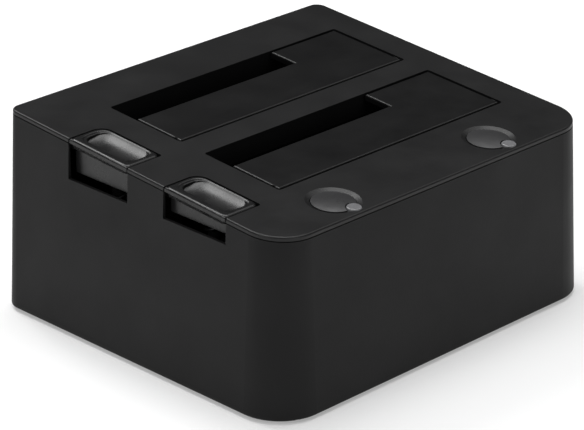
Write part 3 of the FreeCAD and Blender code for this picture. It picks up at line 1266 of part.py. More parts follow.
def make_button_screws():
    screws = []
    for i, side in enumerate(SIDES, start=1):
        x = f"{side} * Sizes.button_post_x"
        head = deck_at(x, "Places.push_y", "Places.button_board_bottom - Sizes.small_head_height")
        shank = deck_at(x, "Places.push_y", "Places.button_board_bottom")
        length = "Sizes.board_thickness + Sizes.small_screw_bite"
        screws.append(screw(f"button_screw_{i}", head, shank, "Sizes.small_screw_d", length))
    return group("button_board_screws", screws)


def make_leds():
    half = "Sizes.led_side / 2"
    return group("status_leds", [
        box(f"{name}_led",
            deck_at(f"{x} + Sizes.light_pipe_dx - {half}", f"Places.pipe_y - {half}", "Places.board_face"),
            "Sizes.led_side", "Sizes.led_side", "Sizes.led_height")
        for name, x in PUSH_BUTTONS.items()])


# ---------------------------------------------------------------------------------------------
# Main board, what stands on it, and the rear sockets
# ---------------------------------------------------------------------------------------------

def make_main_board():
    body = new_body("main_board", level_at(z="Places.board_bottom"))
    blank = sketch_on(body, "XY_Plane")
    rectangle(
        blank, "-Places.half_board", "Places.board_front", "Places.half_board", "Places.board_back")
    pad(body, blank, "Sizes.board_thickness")
    holes = sketch_on(body, "XY_Plane")
    for x, y in board_holes():
        circle(holes, x, y, "Sizes.small_screw_d + Sizes.screw_slack")
    pocket(body, holes, "Sizes.board_thickness", reverse=True)
    return body


def make_board_screws():
    screws = []
    for i, (x, y) in enumerate(board_holes(), start=1):
        bottom = "Places.board_bottom - Sizes.board_screw_bite"
        length = "Sizes.board_thickness + Sizes.board_screw_bite"
        head, shank = level_at(x, y, "Places.board_top"), level_at(x, y, bottom)
        screws.append(screw(f"board_screw_{i}", head, shank, "Sizes.small_screw_d", length))
    return group("board_screws", screws)


def make_board_parts():
    """The bridge chip, the capacitors and the coils, on the board in front of the wells."""
    y = "Places.board_part_y"
    side = "Sizes.chip_side"
    corner = level_at("-Sizes.chip_x", f"{y} - {side} / 2", "Places.board_top")
    chip = box("bridge_chip", corner, side, side, "Sizes.chip_height")
    capacitors = group("capacitors", [
        cylinder(
            f"capacitor_{i}", level_at(f"{i + 1} * Sizes.capacitor_pitch", y, "Places.board_top"),
            "Sizes.capacitor_d / 2", "Sizes.capacitor_height")
        for i in (1, 2)])
    coil_side = "Sizes.coil_side"
    coils = group("power_coils", [
        box(f"coil_{i}", level_at(f"-{i} * Sizes.coil_pitch", f"{y} - {coil_side} / 2", "Places.board_top"),
            coil_side, coil_side, "Sizes.coil_height")
        for i in (1, 2)])
    return [chip, capacitors, coils]


def make_ribbon():
    """The flat ribbon between the two boards, with the socket at each end."""
    left = "Sizes.ribbon_x - Sizes.ribbon_width / 2 - Sizes.socket_end"
    width = "Sizes.ribbon_width + 2 * Sizes.socket_end"
    lower = box(
        "ribbon_socket_lower",
        level_at(left, "Places.ribbon_y - Sizes.socket_depth / 2", "Places.board_top"),
        width, "Sizes.socket_depth", "Sizes.socket_height")
    deck_y = "(Places.button_board_y1 - Sizes.socket_depth)"
    under = "(Places.button_board_bottom - Sizes.socket_height)"
    upper = box(
        "ribbon_socket_upper", deck_at(left, deck_y, under),
        width, "Sizes.socket_depth", "Sizes.socket_height")
    body = new_body("ribbon_cable", level_at("Sizes.ribbon_x"))
    strip = sketch_on(body, "YZ_Plane")
    middle = f"({deck_y} + Sizes.socket_depth / 2)"
    top_y = f"({middle} * Places.slope_cos - {under} * Places.slope_sin)"
    top_z = f"(Places.deck_z + {middle} * Places.slope_sin + {under} * Places.slope_cos - Places.join)"
    low_z = "(Places.board_top + Sizes.socket_height)"
    thick = "Sizes.ribbon_thickness / 2"
    polygon(strip, [
        (f"Places.ribbon_y - {thick}", low_z), (f"Places.ribbon_y + {thick}", low_z),
        (f"Places.ribbon_y + {thick}", f"{low_z} + Sizes.ribbon_straight"),
        (f"{top_y} + {thick}", f"{top_z} - Sizes.ribbon_straight"), (f"{top_y} + {thick}", top_z),
        (f"{top_y} - {thick}", top_z), (f"{top_y} - {thick}", f"{top_z} - Sizes.ribbon_straight"),
        (f"Places.ribbon_y - {thick}", f"{low_z} + Sizes.ribbon_straight")])
    pad(body, strip, "Sizes.ribbon_width", both=True)
    return [group("ribbon_sockets", [lower, upper]), body]


def make_port(port, label):
    """A socket with an open mouth in the back wall and a contact tongue inside."""
    body = new_body(label, level_at(f"Places.{port}_x", "Places.port_back", "Places.board_top"))
    half, height, depth = (f"Sizes.{port}_width / 2", f"Sizes.{port}_height", f"Sizes.{port}_depth")
    wall = "Sizes.port_wall"
    blank = sketch_on(body, "XZ_Plane")
    rectangle(blank, f"-{half}", "0", half, height)
    pad(body, blank, depth)
    mouth = sketch_on(body, "XZ_Plane")
    if port == "usb":
        corner = "Sizes.usb_corner"
        polygon(mouth, [
            (f"-{half} + {wall}", wall), (f"{half} - {wall}", wall),
            (f"{half} - {wall}", f"{height} - {wall} - {corner}"),
            (f"{half} - {wall} - {corner}", f"{height} - {wall}"),
            (f"-{half} + {wall} + {corner}", f"{height} - {wall}"),
            (f"-{half} + {wall}", f"{height} - {wall} - {corner}")])
    else:
        rectangle(mouth, f"-{half} + {wall}", wall, f"{half} - {wall}", f"{height} - {wall}")
    pocket(body, mouth, f"{depth} - Sizes.port_floor", reverse=True)
    tongue = sketch_on(body, "XZ_Plane", level_at(z="Places.past"))
    thick = "Sizes.port_tongue / 2"
    reach = f"{half} * Sizes.port_tongue_share"
    rectangle(tongue, f"-{reach}", f"{height} / 2 - {thick}", reach, f"{height} / 2 + {thick}")
    pad(body, tongue, f"{depth} - 2 * Places.past")
    return body


def make_dc_socket():
    """The round power socket, with its centre pin."""
    body = new_body("power_socket", level_at("Places.dc_x", "Places.port_back", "Places.board_top"))
    half, height = "Sizes.dc_width / 2", "Sizes.dc_height"
    blank = sketch_on(body, "XZ_Plane")
    rectangle(blank, f"-{half}", "0", half, height)
    pad(body, blank, "Sizes.dc_depth")
    hole = sketch_on(body, "XZ_Plane")
    circle(hole, "0", f"{height} / 2", "Sizes.dc_hole")
    pocket(body, hole, "Sizes.dc_depth - Sizes.port_floor", reverse=True)
    centre = sketch_on(body, "XZ_Plane", level_at(z="Places.past"))
    circle(centre, "0", f"{height} / 2", "Sizes.dc_centre_pin")
    pad(body, centre, "Sizes.dc_depth - 2 * Places.past")
    return body


# ---------------------------------------------------------------------------------------------
# Build, check and write
# ---------------------------------------------------------------------------------------------

sub_parts = [make_shell(), make_cover(), make_base(), make_feet(), make_corner_screws()]
for name, bay in BAYS.items():
    sub_parts += [
        make_well(name, bay), make_drive_connector(name, bay), make_flap(name, bay),
        make_flap_pin(name, bay), make_flap_spring(name, bay), make_eject_button(name, bay),
        make_eject_spring(name, bay), make_lever(name, bay), make_lever_pin(name, bay)]
sub_parts.append(make_well_screws())
for name, x in PUSH_BUTTONS.items():
    sub_parts += [
        make_push_button(name, x), make_plunger(name, x), make_switch(name, x),
        make_light_pipe(name, x)]
sub_parts += [make_button_board(), make_button_screws(), make_leds(), make_main_board()]
sub_parts += [make_board_screws(), *make_board_parts(), *make_ribbon()]
sub_parts += [make_port("usb", "usb_socket"), make_port("esata", "esata_socket"), make_dc_socket()]
doc.recompute()

for item in doc.Objects:
    if {"Invalid", "Error"} & set(item.State):
        raise ValueError(f"{item.Label}: {item.State}")
    if item.isDerivedFrom("PartDesign::Pocket"):
        if not item.Shape.Volume < item.BaseFeature.Shape.Volume - 1e-6:
            raise ValueError(f"{item.Label}: the pocket cuts nothing")
for part in sub_parts:
    if part.Shape.isNull() or not part.Shape.isValid():
        raise ValueError(f"{part.Label}: the shape is not valid")

os.makedirs("parts", exist_ok=True)
for part in sub_parts:
    part.Shape.exportStep(f"parts/{part.Label}.step")
print(len(sub_parts), "sub-parts written")
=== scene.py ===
import json
import math

import bmesh
import bpy
from mathutils import Matrix, Vector


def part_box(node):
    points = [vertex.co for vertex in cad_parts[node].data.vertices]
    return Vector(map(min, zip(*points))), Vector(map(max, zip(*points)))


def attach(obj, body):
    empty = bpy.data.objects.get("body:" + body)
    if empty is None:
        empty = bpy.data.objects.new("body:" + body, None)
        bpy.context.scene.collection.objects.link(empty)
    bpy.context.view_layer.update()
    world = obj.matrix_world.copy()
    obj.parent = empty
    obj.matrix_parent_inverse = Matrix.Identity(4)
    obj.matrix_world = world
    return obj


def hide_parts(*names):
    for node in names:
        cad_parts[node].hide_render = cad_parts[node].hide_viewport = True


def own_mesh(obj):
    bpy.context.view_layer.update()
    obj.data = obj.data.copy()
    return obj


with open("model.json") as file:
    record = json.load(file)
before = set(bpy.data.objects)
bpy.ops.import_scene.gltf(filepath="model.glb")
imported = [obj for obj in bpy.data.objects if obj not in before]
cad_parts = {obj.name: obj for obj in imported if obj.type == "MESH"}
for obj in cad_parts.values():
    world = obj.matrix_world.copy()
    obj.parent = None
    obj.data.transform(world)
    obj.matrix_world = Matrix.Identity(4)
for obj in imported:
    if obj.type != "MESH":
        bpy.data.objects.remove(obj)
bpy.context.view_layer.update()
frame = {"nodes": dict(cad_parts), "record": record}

# ---------------------------------------------------------------------------------------------
# Named values: metres, degrees, watts, linear colours
# ---------------------------------------------------------------------------------------------

CAMERA_AZIMUTH = 45.083
CAMERA_ELEVATION = 23.733
CAMERA_DISTANCE = 0.96759
CAMERA_AIM = (-0.0030, 0.0008, 0.0302)
CAMERA_LENS = 182.77
SENSOR_WIDTH = 36.0

FLOOR_SIZE = 6.0
FLOOR_WHITE = 0.94
FLOOR_GLOW = 0.3
FLOOR_DROP = 0.00005

# the studio: its strength low down, how high it starts to brighten, and its strength overhead
STUDIO_LOW = 0.03
STUDIO_RISE = 0.55
STUDIO_HIGH = 0.6

# the lamps, all turned to one point of the body: place, side of the square, power
LAMP_AIM = (0.0, 0.0, 0.05)
LAMPS = {
    "overhead": ((0.15, 0.15, 1.5), 1.0, 15.0),
    "behind_left": ((0.0, 1.1, 1.3), 0.7, 12.0),
    "behind_right": ((1.1, 0.0, 1.3), 0.7, 2.0),
    "left": ((-1.1, -0.1, 0.7), 0.5, 3.0),
    "front": ((-0.1, -1.2, 0.5), 0.6, 2.5),
}

# the materials: between what values most of a noise lies, how much a moulding's colour drifts,
# the highlight painted on its edges, by how sharp they are, how far their normals turn, how much
# and how pale, and the black of most mouldings
NOISE_LOW = 0.3
NOISE_HIGH = 0.7
CLOUD_DRIFT = 0.14
EDGE_RADIUS = 0.0005
EDGE_TURN = 0.85
# the painted highlight on sharp edges: its share, and how much paler it makes them
EDGE_HIGHLIGHT_SHARE = 0.3
EDGE_HIGHLIGHT_PALENESS = 2.2
BLACK = 0.008

# a Mix node's colour sockets, which share their names with its sockets of other kinds
MIX_FIRST = 6
MIX_SECOND = 7
MIX_RESULT = 2

# how near two points of a piece are welded
WELD = 2e-7

# the deck: its height at the middle of the body and its slope up towards the back
DECK_HEIGHT = 0.0654
DECK_SLOPE = math.radians(4.17)

# the walls: their distance from the middle at the deck's middle height, and their draft
HALF_WIDTH = 0.0708
WALL_DRAFT = math.radians(2.5)

# the top of each eject button: its middle, its inner side, its half length, the radii of its
# corners from the inner back one round by the wall, and how far it keeps inside the solid's sides
EJECT_Y = {"front": -0.02535, "rear": 0.018434}
EJECT_INNER = -0.0566
EJECT_HALF_Y = 0.0133
EJECT_CORNERS = (0.004, 0.002, 0.002, 0.0024)
EJECT_INSET = 0.00003

# its rim: how far it starts below the deck, stands above it, rolls over and reaches down
EJECT_DROP = 0.00045
EJECT_RAISE = 0.00028
EJECT_EDGE = 0.0011
EJECT_UNDER = 0.0027

# its mesh: rings in the rolled edge and inside it, points in a corner and along the short and
# the long sides
EDGE_RINGS = 10
INNER_RINGS = 26
CORNER_STEPS = 8
SIDE_STEPS = (10, 22)

# the dish in it for a finger: its outline and depth, the widths over which it falls at the outer
# side, the front, the back and all round, and how late it rises to the inner side
DISH_OUTER = -0.0686
DISH_INNER = -0.0572
DISH_HALF_Y = 0.0118
DISH_CORNER = 0.0046
DISH_DEPTH = 0.0024
DISH_OUTER_FALL = 0.0026
DISH_FRONT_FALL = 0.003
DISH_BACK_FALL = 0.006
DISH_RIM_FALL = 0.0012
DISH_RISE = 2.4

# the springs under the eject buttons: the wire, the turns, those that are closed at each end,
# the mesh's steps a turn and sides, and the part of a turn over which the wire's direction is
# taken, each way
COIL_WIRE = 0.0007
COIL_TURNS = 6
COIL_CLOSED = 0.75
COIL_STEPS = 36
COIL_SIDES = 12
COIL_LOOK = 0.01

# the drive connectors: their middles, the pitch of their blades, the middle and number of blades
# in their two slots, how far the slots' flat side is from the middle, and the blades' two ends
SATA_X = -0.021
SATA_Y = {"front": -0.00825, "rear": 0.035534}
SATA_PITCH = 0.00127
SATA_ROWS = {"power": (-0.0054, 15), "data": (0.0120, 7)}
SATA_WALL = 0.0012
SATA_LOW = 0.0146
SATA_HIGH = 0.0194

# a blade: its half width, its thickness, its gap to the wall, how far it bows and its steps
BLADE_HALF = 0.0003
BLADE_THICKNESS = 0.00015
BLADE_GAP = 0.00005
BLADE_BOW = 0.00045
BLADE_STEPS = 8

# the contact tongues in the rear sockets: x, height, half width, inner end, the contacts on a
# face, and which faces have them (1 for the upper one)
PORT_TONGUES = {
    "usb": (-0.014, 0.0153, 0.0036, 0.0497, 2, (-1, 1)),
    "esata": (0.012, 0.0117, 0.0042, 0.0527, 7, (1,)),
}

# all tongues: their tip, their half thickness, how far they cover the solid's and their rounding
TONGUE_TIP = 0.0619
TONGUE_HALF = 0.0008
TONGUE_COVER = 0.00006
TONGUE_ROUND = 0.00025

# their contacts: half their width as a share of their pitch, how far they are let in, stand out
# and end short of the tip, and their rounding
CONTACT_SHARE = 0.28
CONTACT_SUNK = 0.0001
CONTACT_PROUD = 0.00012
CONTACT_BACK = 0.0008
CONTACT_ROUND = 0.00004

nodes = frame["nodes"]


# ---------------------------------------------------------------------------------------------
# Materials
# ---------------------------------------------------------------------------------------------

def feed(socket, content):
    """Link another node's output to the socket, or set it to a constant."""
    if isinstance(content, bpy.types.NodeSocket):
        socket.id_data.links.new(content, socket)
    else:
        socket.default_value = content


def add_node(tree, kind, **inputs):
    """A new node with its sockets fed; an underscore in a name stands for a space."""
    node = tree.nodes.new(kind)
    for name, content in inputs.items():
        feed(node.inputs[name.replace("_", " ")], content)
    return node


def combine(tree, kind, operation, first, second):
    """A Math or Vector Math node with both its sockets fed."""
    node = tree.nodes.new(kind)
    node.operation = operation
    feed(node.inputs[0], first)
    feed(node.inputs[1], second)
    return node.outputs["Value"]


def shade(colour, share):
    return tuple(share * part for part in colour)


class Shader:
    """A Principled material with helpers that add nodes to it."""

    def __init__(self, name, colour, roughness, metallic=0.0, specular=0.5):
        self.material = bpy.data.materials.new(name)
        self.material.use_nodes = True
        self.tree = self.material.node_tree
        self.surface = self.tree.nodes["Principled BSDF"]
        self.set("Base Color", (*colour, 1.0))
        self.set("Roughness", roughness)
        self.set("Metallic", metallic)
        self.set("Specular IOR Level", specular)
        self.position = self.add("ShaderNodeTexCoord").outputs["Object"]

    def add(self, kind, **inputs):
        return add_node(self.tree, kind, **inputs)

    def set(self, name, content):
        feed(self.surface.inputs[name], content)

    def noise(self, scale, detail=2.0, roughness=0.5):
        node = self.add(
            "ShaderNodeTexNoise", Vector=self.position, Scale=scale, Detail=detail,
            Roughness=roughness)
        return node.outputs["Fac"]

    def stretched_noise(self, stretch, scale, detail):
        mapping = self.add("ShaderNodeMapping", Vector=self.position, Scale=stretch)
        node = self.add(
            "ShaderNodeTexNoise", Vector=mapping.outputs["Vector"], Scale=scale, Detail=detail)
        return node.outputs["Fac"]

    def cells(self, scale):
        node = self.add("ShaderNodeTexVoronoi", Vector=self.position, Scale=scale)
        return node.outputs["Distance"]

    def spread(self, noise, low, high):
        """The stretch that holds most of the noise, mapped on to low .. high."""
        node = self.add(
            "ShaderNodeMapRange", Value=noise, From_Min=NOISE_LOW, From_Max=NOISE_HIGH,
            To_Min=low, To_Max=high)
        return node.outputs["Result"]

    def mix(self, factor, first, second):
        """From the first colour to the second; each is a colour or a socket."""
        node = self.add("ShaderNodeMix", Factor=factor)
        node.data_type = "RGBA"
        for index, content in ((MIX_FIRST, first), (MIX_SECOND, second)):
            feed(node.inputs[index], (*content, 1.0) if isinstance(content, tuple) else content)
        return node.outputs[MIX_RESULT]

    def edges(self):
        """From 0 on flat surfaces to the share of painted highlight on sharp edges."""
        rounded = self.add("ShaderNodeBevel", Radius=EDGE_RADIUS).outputs["Normal"]
        plain = self.add("ShaderNodeNewGeometry").outputs["Normal"]
        likeness = combine(self.tree, "ShaderNodeVectorMath", "DOT_PRODUCT", rounded, plain)
        node = self.add(
            "ShaderNodeMapRange", Value=likeness, From_Min=1.0, From_Max=EDGE_TURN,
            To_Max=EDGE_HIGHLIGHT_SHARE)
        return node.outputs["Result"]

    def bump(self, *layers):
        """Layers of (height, depth in metres), one on top of the other."""
        normal = None
        for height, depth in layers:
            node = self.add("ShaderNodeBump", Height=height, Distance=depth, Strength=1.0)
            if normal:
                feed(node.inputs["Normal"], normal)
            normal = node.outputs["Normal"]
        self.set("Normal", normal)


def moulded_plastic(name, colour, roughness, grain=0.00001, specular=0.25):
    """Spark-eroded plastic: a fine even grain, faint clouds and edges painted paler as a highlight.
    """
    shader = Shader(name, colour, roughness, specular=specular)
    clouds = shader.spread(shader.noise(18.0, detail=4.0), 0.0, 1.0)
    plain = shader.mix(clouds, shade(colour, 1.0 - CLOUD_DRIFT), shade(colour, 1.0 + CLOUD_DRIFT))
    # painted highlight: sharp edges are made paler so that their rims look lit
    shader.set("Base Color", shader.mix(shader.edges(), plain, shade(colour, EDGE_HIGHLIGHT_PALENESS)))
    wear = shader.noise(55.0, detail=5.0, roughness=0.6)
    shader.set("Roughness", shader.spread(wear, roughness - 0.04, roughness + 0.05))
    shader.bump((shader.cells(2600.0), grain), (shader.noise(900.0, detail=3.0), 2 * grain))
    return shader.material


def smooth_plastic(name, colour, roughness, specular=0.4):
    """Polished plastic with the faint ripple of its mould and a few handling marks."""
    shader = Shader(name, colour, roughness, specular=specular)
    marks = shader.noise(120.0, detail=6.0, roughness=0.65)
    shader.set("Roughness", shader.spread(marks, roughness - 0.05, roughness + 0.08))
    shader.bump((shader.noise(40.0), 0.00001), (shader.noise(1500.0), 0.000003))
    return shader.material


def rubber(name, colour):
    """Dull rubber with a rough skin."""
    shader = Shader(name, colour, 0.8)
    shader.bump((shader.noise(1200.0, detail=3.0), 0.00003))
    return shader.material


def drawn_metal(name, colour, roughness, stretch):
    """Metal with fine lines along one axis, or evenly grained where the stretch is even."""
    shader = Shader(name, colour, roughness, metallic=1.0)
    lines = shader.stretched_noise(stretch, 60.0, detail=4.0)
    shader.set("Roughness", shader.spread(lines, roughness - 0.08, roughness + 0.1))
    shader.bump((lines, 0.00001))
    return shader.material


def plated_metal(name, colour, roughness):
    """Plated metal, duller in patches."""
    shader = Shader(name, colour, roughness, metallic=1.0)
    patches = shader.noise(300.0, detail=5.0, roughness=0.6)
    shader.set("Roughness", shader.spread(patches, roughness - 0.06, roughness + 0.12))
    shader.bump((patches, 0.000008))
    return shader.material


def circuit_board(name):
    """Solder resist over copper: lighter where a track runs underneath."""
    shader = Shader(name, (0.012, 0.09, 0.03), 0.35)
    tracks = shader.add(
        "ShaderNodeTexBrick", Vector=shader.position, Scale=240.0,
        Color1=(0.012, 0.085, 0.03, 1.0), Color2=(0.014, 0.1, 0.035, 1.0),
        Mortar=(0.03, 0.17, 0.06, 1.0))
    shader.set("Base Color", tracks.outputs["Color"])
    shader.bump(
        (tracks.outputs["Fac"], 0.00003), (shader.noise(700.0, detail=3.0), 0.000008))
    return shader.material


def clear_pipe(name):
    """Clear plastic that looks milky at its face, with the flow lines of its mould."""
    shader = Shader(name, (0.2, 0.2, 0.21), 0.25)
    shader.set("Transmission Weight", 0.25)
    flow = shader.noise(900.0, detail=3.0)
    shader.set("Base Color", shader.mix(flow, (0.15, 0.15, 0.155), (0.24, 0.24, 0.25)))
    shader.bump((shader.noise(800.0), 0.000005))
    return shader.material


def ribbon(name):
    """Grey ribbon with a rib for every wire."""
    shader = Shader(name, (0.35, 0.35, 0.36), 0.5)
    wave = shader.add("ShaderNodeTexWave", Vector=shader.position, Scale=160.0)
    wave.bands_direction = "X"
    shader.bump((wave.outputs["Fac"], 0.0002))
    return shader.material


SLOT_MATERIALS = {
    "housing_plastic": moulded_plastic("housing", (BLACK, BLACK, 1.02 * BLACK), 0.5, specular=0.16),
    "cover_plastic": moulded_plastic("cover", (BLACK, BLACK, 1.03 * BLACK), 0.38, specular=0.29),
    "base_plastic": moulded_plastic("base", (BLACK, BLACK, BLACK), 0.6),
    "flap_plastic": moulded_plastic("flap", (0.6 * BLACK, 0.6 * BLACK, 0.62 * BLACK), 0.34),
    "eject_plastic": smooth_plastic("eject", (BLACK, BLACK, 1.03 * BLACK), 0.26, specular=0.35),
    "push_button_plastic": smooth_plastic("push_button", (0.032, 0.032, 0.033), 0.3),
    "light_pipe_clear": clear_pipe("light_pipe"),
    # painted shade: the wells' plastic is half as dark as the other mouldings so that the drive
    # wells look black inside
    "well_plastic": moulded_plastic("well", (0.004, 0.004, 0.004), 0.75, 0.00003, 0.1),
    "lever_plastic": smooth_plastic("lever", (0.02, 0.02, 0.02), 0.5),
    "connector_plastic": smooth_plastic("connector", (0.008, 0.008, 0.008), 0.45),
    "switch_plastic": smooth_plastic("switch", (0.02, 0.02, 0.02), 0.45),
    "foot_rubber": rubber("foot", (0.012, 0.012, 0.012)),
    "screw_steel": plated_metal("screw", (0.3, 0.3, 0.31), 0.35),
    "pin_steel": drawn_metal("pin", (0.2, 0.2, 0.205), 0.35, (1.0, 20.0, 20.0)),
    "spring_steel": drawn_metal("spring", (0.06, 0.06, 0.062), 0.45, (20.0, 20.0, 20.0)),
    "circuit_board": circuit_board("board"),
    "led_white": smooth_plastic("led", (0.7, 0.7, 0.62), 0.3),
    "chip_epoxy": moulded_plastic("chip", (0.012, 0.012, 0.012), 0.55),
    "capacitor_can": plated_metal("capacitor", (0.6, 0.6, 0.61), 0.3),
    "coil_ferrite": moulded_plastic("coil", (0.05, 0.05, 0.05), 0.7, 0.00003),
    "ribbon_grey": ribbon("ribbon"),
    "port_metal": plated_metal("port", (0.6, 0.6, 0.6), 0.25),
}

for entry in frame["record"]["subparts"]:
    for slot in nodes[entry["node"]].material_slots:
        slot.material = SLOT_MATERIALS[entry["material_slot"]]


# ---------------------------------------------------------------------------------------------
# Pieces on the solids
# ---------------------------------------------------------------------------------------------

def deck_height(y):
    return DECK_HEIGHT + y * math.tan(DECK_SLOPE)


def finish_piece(mesh, name, body, slot, place=Matrix.Identity(4), smooth=True):
    """Weld the mesh, turn its faces outwards and put the piece on its body."""
    bmesh.ops.remove_doubles(mesh, verts=mesh.verts, dist=WELD)
    bmesh.ops.recalc_face_normals(mesh, faces=mesh.faces)
    data = bpy.data.meshes.new(name)
    mesh.to_mesh(data)
    mesh.free()
    for polygon in data.polygons:
        polygon.use_smooth = smooth
    piece = bpy.data.objects.new(name, data)
    piece.matrix_world = place
    data.materials.append(SLOT_MATERIALS[slot])
    bpy.context.scene.collection.objects.link(piece)
    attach(piece, body)
    return piece


def join_rings(mesh, rings):
    """The sides between rings of points, and the cap on the first."""
    count = len(rings[0])
    for ring, beyond in zip(rings, rings[1:]):
        for index in range(count):
            follow = (index + 1) % count
            mesh.faces.new((ring[index], ring[follow], beyond[follow], beyond[index]))
    mesh.faces.new(list(reversed(rings[0])))


def inset_outline(half_x, half_y, corners, inset):
    """Points round a rectangle with its own radius at each corner, moved in by the inset."""
    arcs = []
    signs = ((1, 1), (-1, 1), (-1, -1), (1, -1))
    for quarter, ((side_x, side_y), corner) in enumerate(zip(signs, corners)):
        radius = max(corner - inset, 0.0)
        reach = max(corner, inset)
        arc = []
        for step in range(CORNER_STEPS + 1):
            angle = math.radians(90.0 * (quarter + step / CORNER_STEPS))
            arc.append((
                side_x * (half_x - reach) + radius * math.cos(angle),
                side_y * (half_y - reach) + radius * math.sin(angle)))
        arcs.append(arc)
    points = []
    for quarter, arc in enumerate(arcs):
        points += arc
        end = arcs[(quarter + 1) % 4][0]
        count = SIDE_STEPS[quarter % 2]
        for step in range(1, count):
            share = step / count
            points.append(tuple(a + (b - a) * share for a, b in zip(arc[-1], end)))
    return points


def roll(distance, width):
    """From 0 at an edge to 1 a width away from it, round like a quarter circle."""
    near = 1.0 - min(max(distance / width, 0.0), 1.0)
    return math.sqrt(1.0 - near * near)


def inside(x, y, half_x, half_y, corner):
    """How far a point is inside a rectangle with round corners; negative outside it."""
    past_x = abs(x) - (half_x - corner)
    past_y = abs(y) - (half_y - corner)
    outside = math.hypot(max(past_x, 0.0), max(past_y, 0.0))
    return corner - outside - min(max(past_x, past_y), 0.0)


def dish_depth(x, y):
    """Deepest near the outer wall, and rising in one long curve to the inner side."""
    span = DISH_INNER - DISH_OUTER
    past_outer = x - DISH_OUTER
    along = max((past_outer - DISH_OUTER_FALL) / (span - DISH_OUTER_FALL), 0.0)
    within = inside(past_outer - span / 2, y, span / 2, DISH_HALF_Y, DISH_CORNER)
    return (DISH_DEPTH * max(1.0 - along ** DISH_RISE, 0.0)
            * roll(past_outer, DISH_OUTER_FALL) * roll(y + DISH_HALF_Y, DISH_FRONT_FALL)
            * roll(DISH_HALF_Y - y, DISH_BACK_FALL) * roll(within, DISH_RIM_FALL))


def make_eject_top(bay):
    """The button's top: a rounded rim that stands a little proud, round a dished middle."""
    height = deck_height(EJECT_Y[bay])
    outer = -HALF_WIDTH - (DECK_HEIGHT - height) * math.tan(WALL_DRAFT)
    middle = (EJECT_INNER + outer) / 2
    half_x = (EJECT_INNER - outer) / 2 - EJECT_INSET
    half_y = EJECT_HALF_Y / math.cos(DECK_SLOPE) - EJECT_INSET
    insets = [
        EJECT_EDGE * (1.0 - math.cos(math.radians(90.0 * step / EDGE_RINGS)))
        for step in range(EDGE_RINGS + 1)]
    insets += [
        EJECT_EDGE + (half_x - EJECT_EDGE) * step / INNER_RINGS
        for step in range(1, INNER_RINGS + 1)]
    mesh = bmesh.new()
    rings = [[
        mesh.verts.new((x, y, -EJECT_UNDER))
        for x, y in inset_outline(half_x, half_y, EJECT_CORNERS, EJECT_DROP)]]
    for inset in insets:
        rise = (EJECT_DROP + EJECT_RAISE) * roll(inset, EJECT_EDGE) - EJECT_DROP
        rings.append([
            mesh.verts.new((x, y, rise - dish_depth(x + middle, y)))
            for x, y in inset_outline(half_x, half_y, EJECT_CORNERS, inset)])
    join_rings(mesh, rings)
    slope = Matrix.Rotation(DECK_SLOPE, 4, "X")
    place = Matrix.Translation((middle, EJECT_Y[bay], height)) @ slope
    finish_piece(mesh, f"{bay}_eject_top", f"{bay}_eject_body", "eject_plastic", place)


def make_coil(bay):
    """The button's spring: a round wire, closed at both ends."""
    node = f"{bay}_eject_spring"
    low, high = (Vector(corner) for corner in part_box(node))
    centre = (low + high) / 2
    radius = (high.x - low.x - COIL_WIRE) / 2
    open_turns = COIL_TURNS - 2 * COIL_CLOSED
    climb = (high.z - low.z - COIL_WIRE * (1 + 2 * COIL_CLOSED)) / open_turns

    def spine(turn):
        """The middle of the wire: it climbs by its own width where the coil is closed."""
        below = min(turn, COIL_CLOSED)
        between = min(max(turn - COIL_CLOSED, 0.0), open_turns)
        above = max(turn - COIL_CLOSED - open_turns, 0.0)
        z = low.z + COIL_WIRE / 2 + COIL_WIRE * (below + above) + climb * between
        angle = 2 * math.pi * turn
        return Vector((
            centre.x + radius * math.cos(angle), centre.y + radius * math.sin(angle), z))

    mesh = bmesh.new()
    rings = []
    steps = COIL_STEPS * COIL_TURNS
    for step in range(steps + 1):
        turn = COIL_TURNS * step / steps
        point = spine(turn)
        along = (spine(turn + COIL_LOOK) - spine(turn - COIL_LOOK)).normalized()
        outward = Vector((point.x - centre.x, point.y - centre.y, 0.0)).normalized()
        upward = along.cross(outward).normalized()
        ring = []
        for side in range(COIL_SIDES):
            angle = 2 * math.pi * side / COIL_SIDES
            across = outward * math.cos(angle) + upward * math.sin(angle)
            ring.append(mesh.verts.new(point + COIL_WIRE / 2 * across))
        rings.append(ring)
    join_rings(mesh, rings)
    mesh.faces.new(rings[-1])
    coil = finish_piece(mesh, f"{bay}_eject_coil", "housing", "spring_steel")
    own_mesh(coil)
    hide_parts(node)


def add_bar(mesh, low, high, bevel):
    """A bar with rounded edges between two corners."""
    bar = bmesh.ops.create_cube(mesh, size=1.0)["verts"]
    middle = [(a + b) / 2 for a, b in zip(low, high)]
    span = [b - a for a, b in zip(low, high)]
    for vert in bar:
        vert.co = Vector([m + c * s for m, c, s in zip(middle, vert.co, span)])
    edges = list({edge for vert in bar for edge in vert.link_edges})
    bmesh.ops.bevel(
        mesh, geom=edges, offset=bevel, segments=2, profile=0.5, affect="EDGES")


def make_contacts(bay):
    """The bowed blades along the flat side of a drive connector's two slots."""
    mesh = bmesh.new()
    section = (
        (-BLADE_HALF, 0.0), (BLADE_HALF, 0.0),
        (BLADE_HALF, BLADE_THICKNESS), (-BLADE_HALF, BLADE_THICKNESS))
    for middle, count in SATA_ROWS.values():
        for index in range(count):
            x = SATA_X + middle + (index - (count - 1) / 2) * SATA_PITCH
            stations = []
            for step in range(BLADE_STEPS + 1):
                share = step / BLADE_STEPS
                bow = BLADE_BOW * math.sin(math.pi * share)
                y = SATA_Y[bay] - SATA_WALL + BLADE_GAP + bow
                z = SATA_LOW + (SATA_HIGH - SATA_LOW) * share
                stations.append([
                    mesh.verts.new((x + across, y + depth, z)) for across, depth in section])
            join_rings(mesh, stations)
            mesh.faces.new(stations[-1])
    finish_piece(mesh, f"{bay}_connector_contacts", "housing", "port_metal", smooth=False)


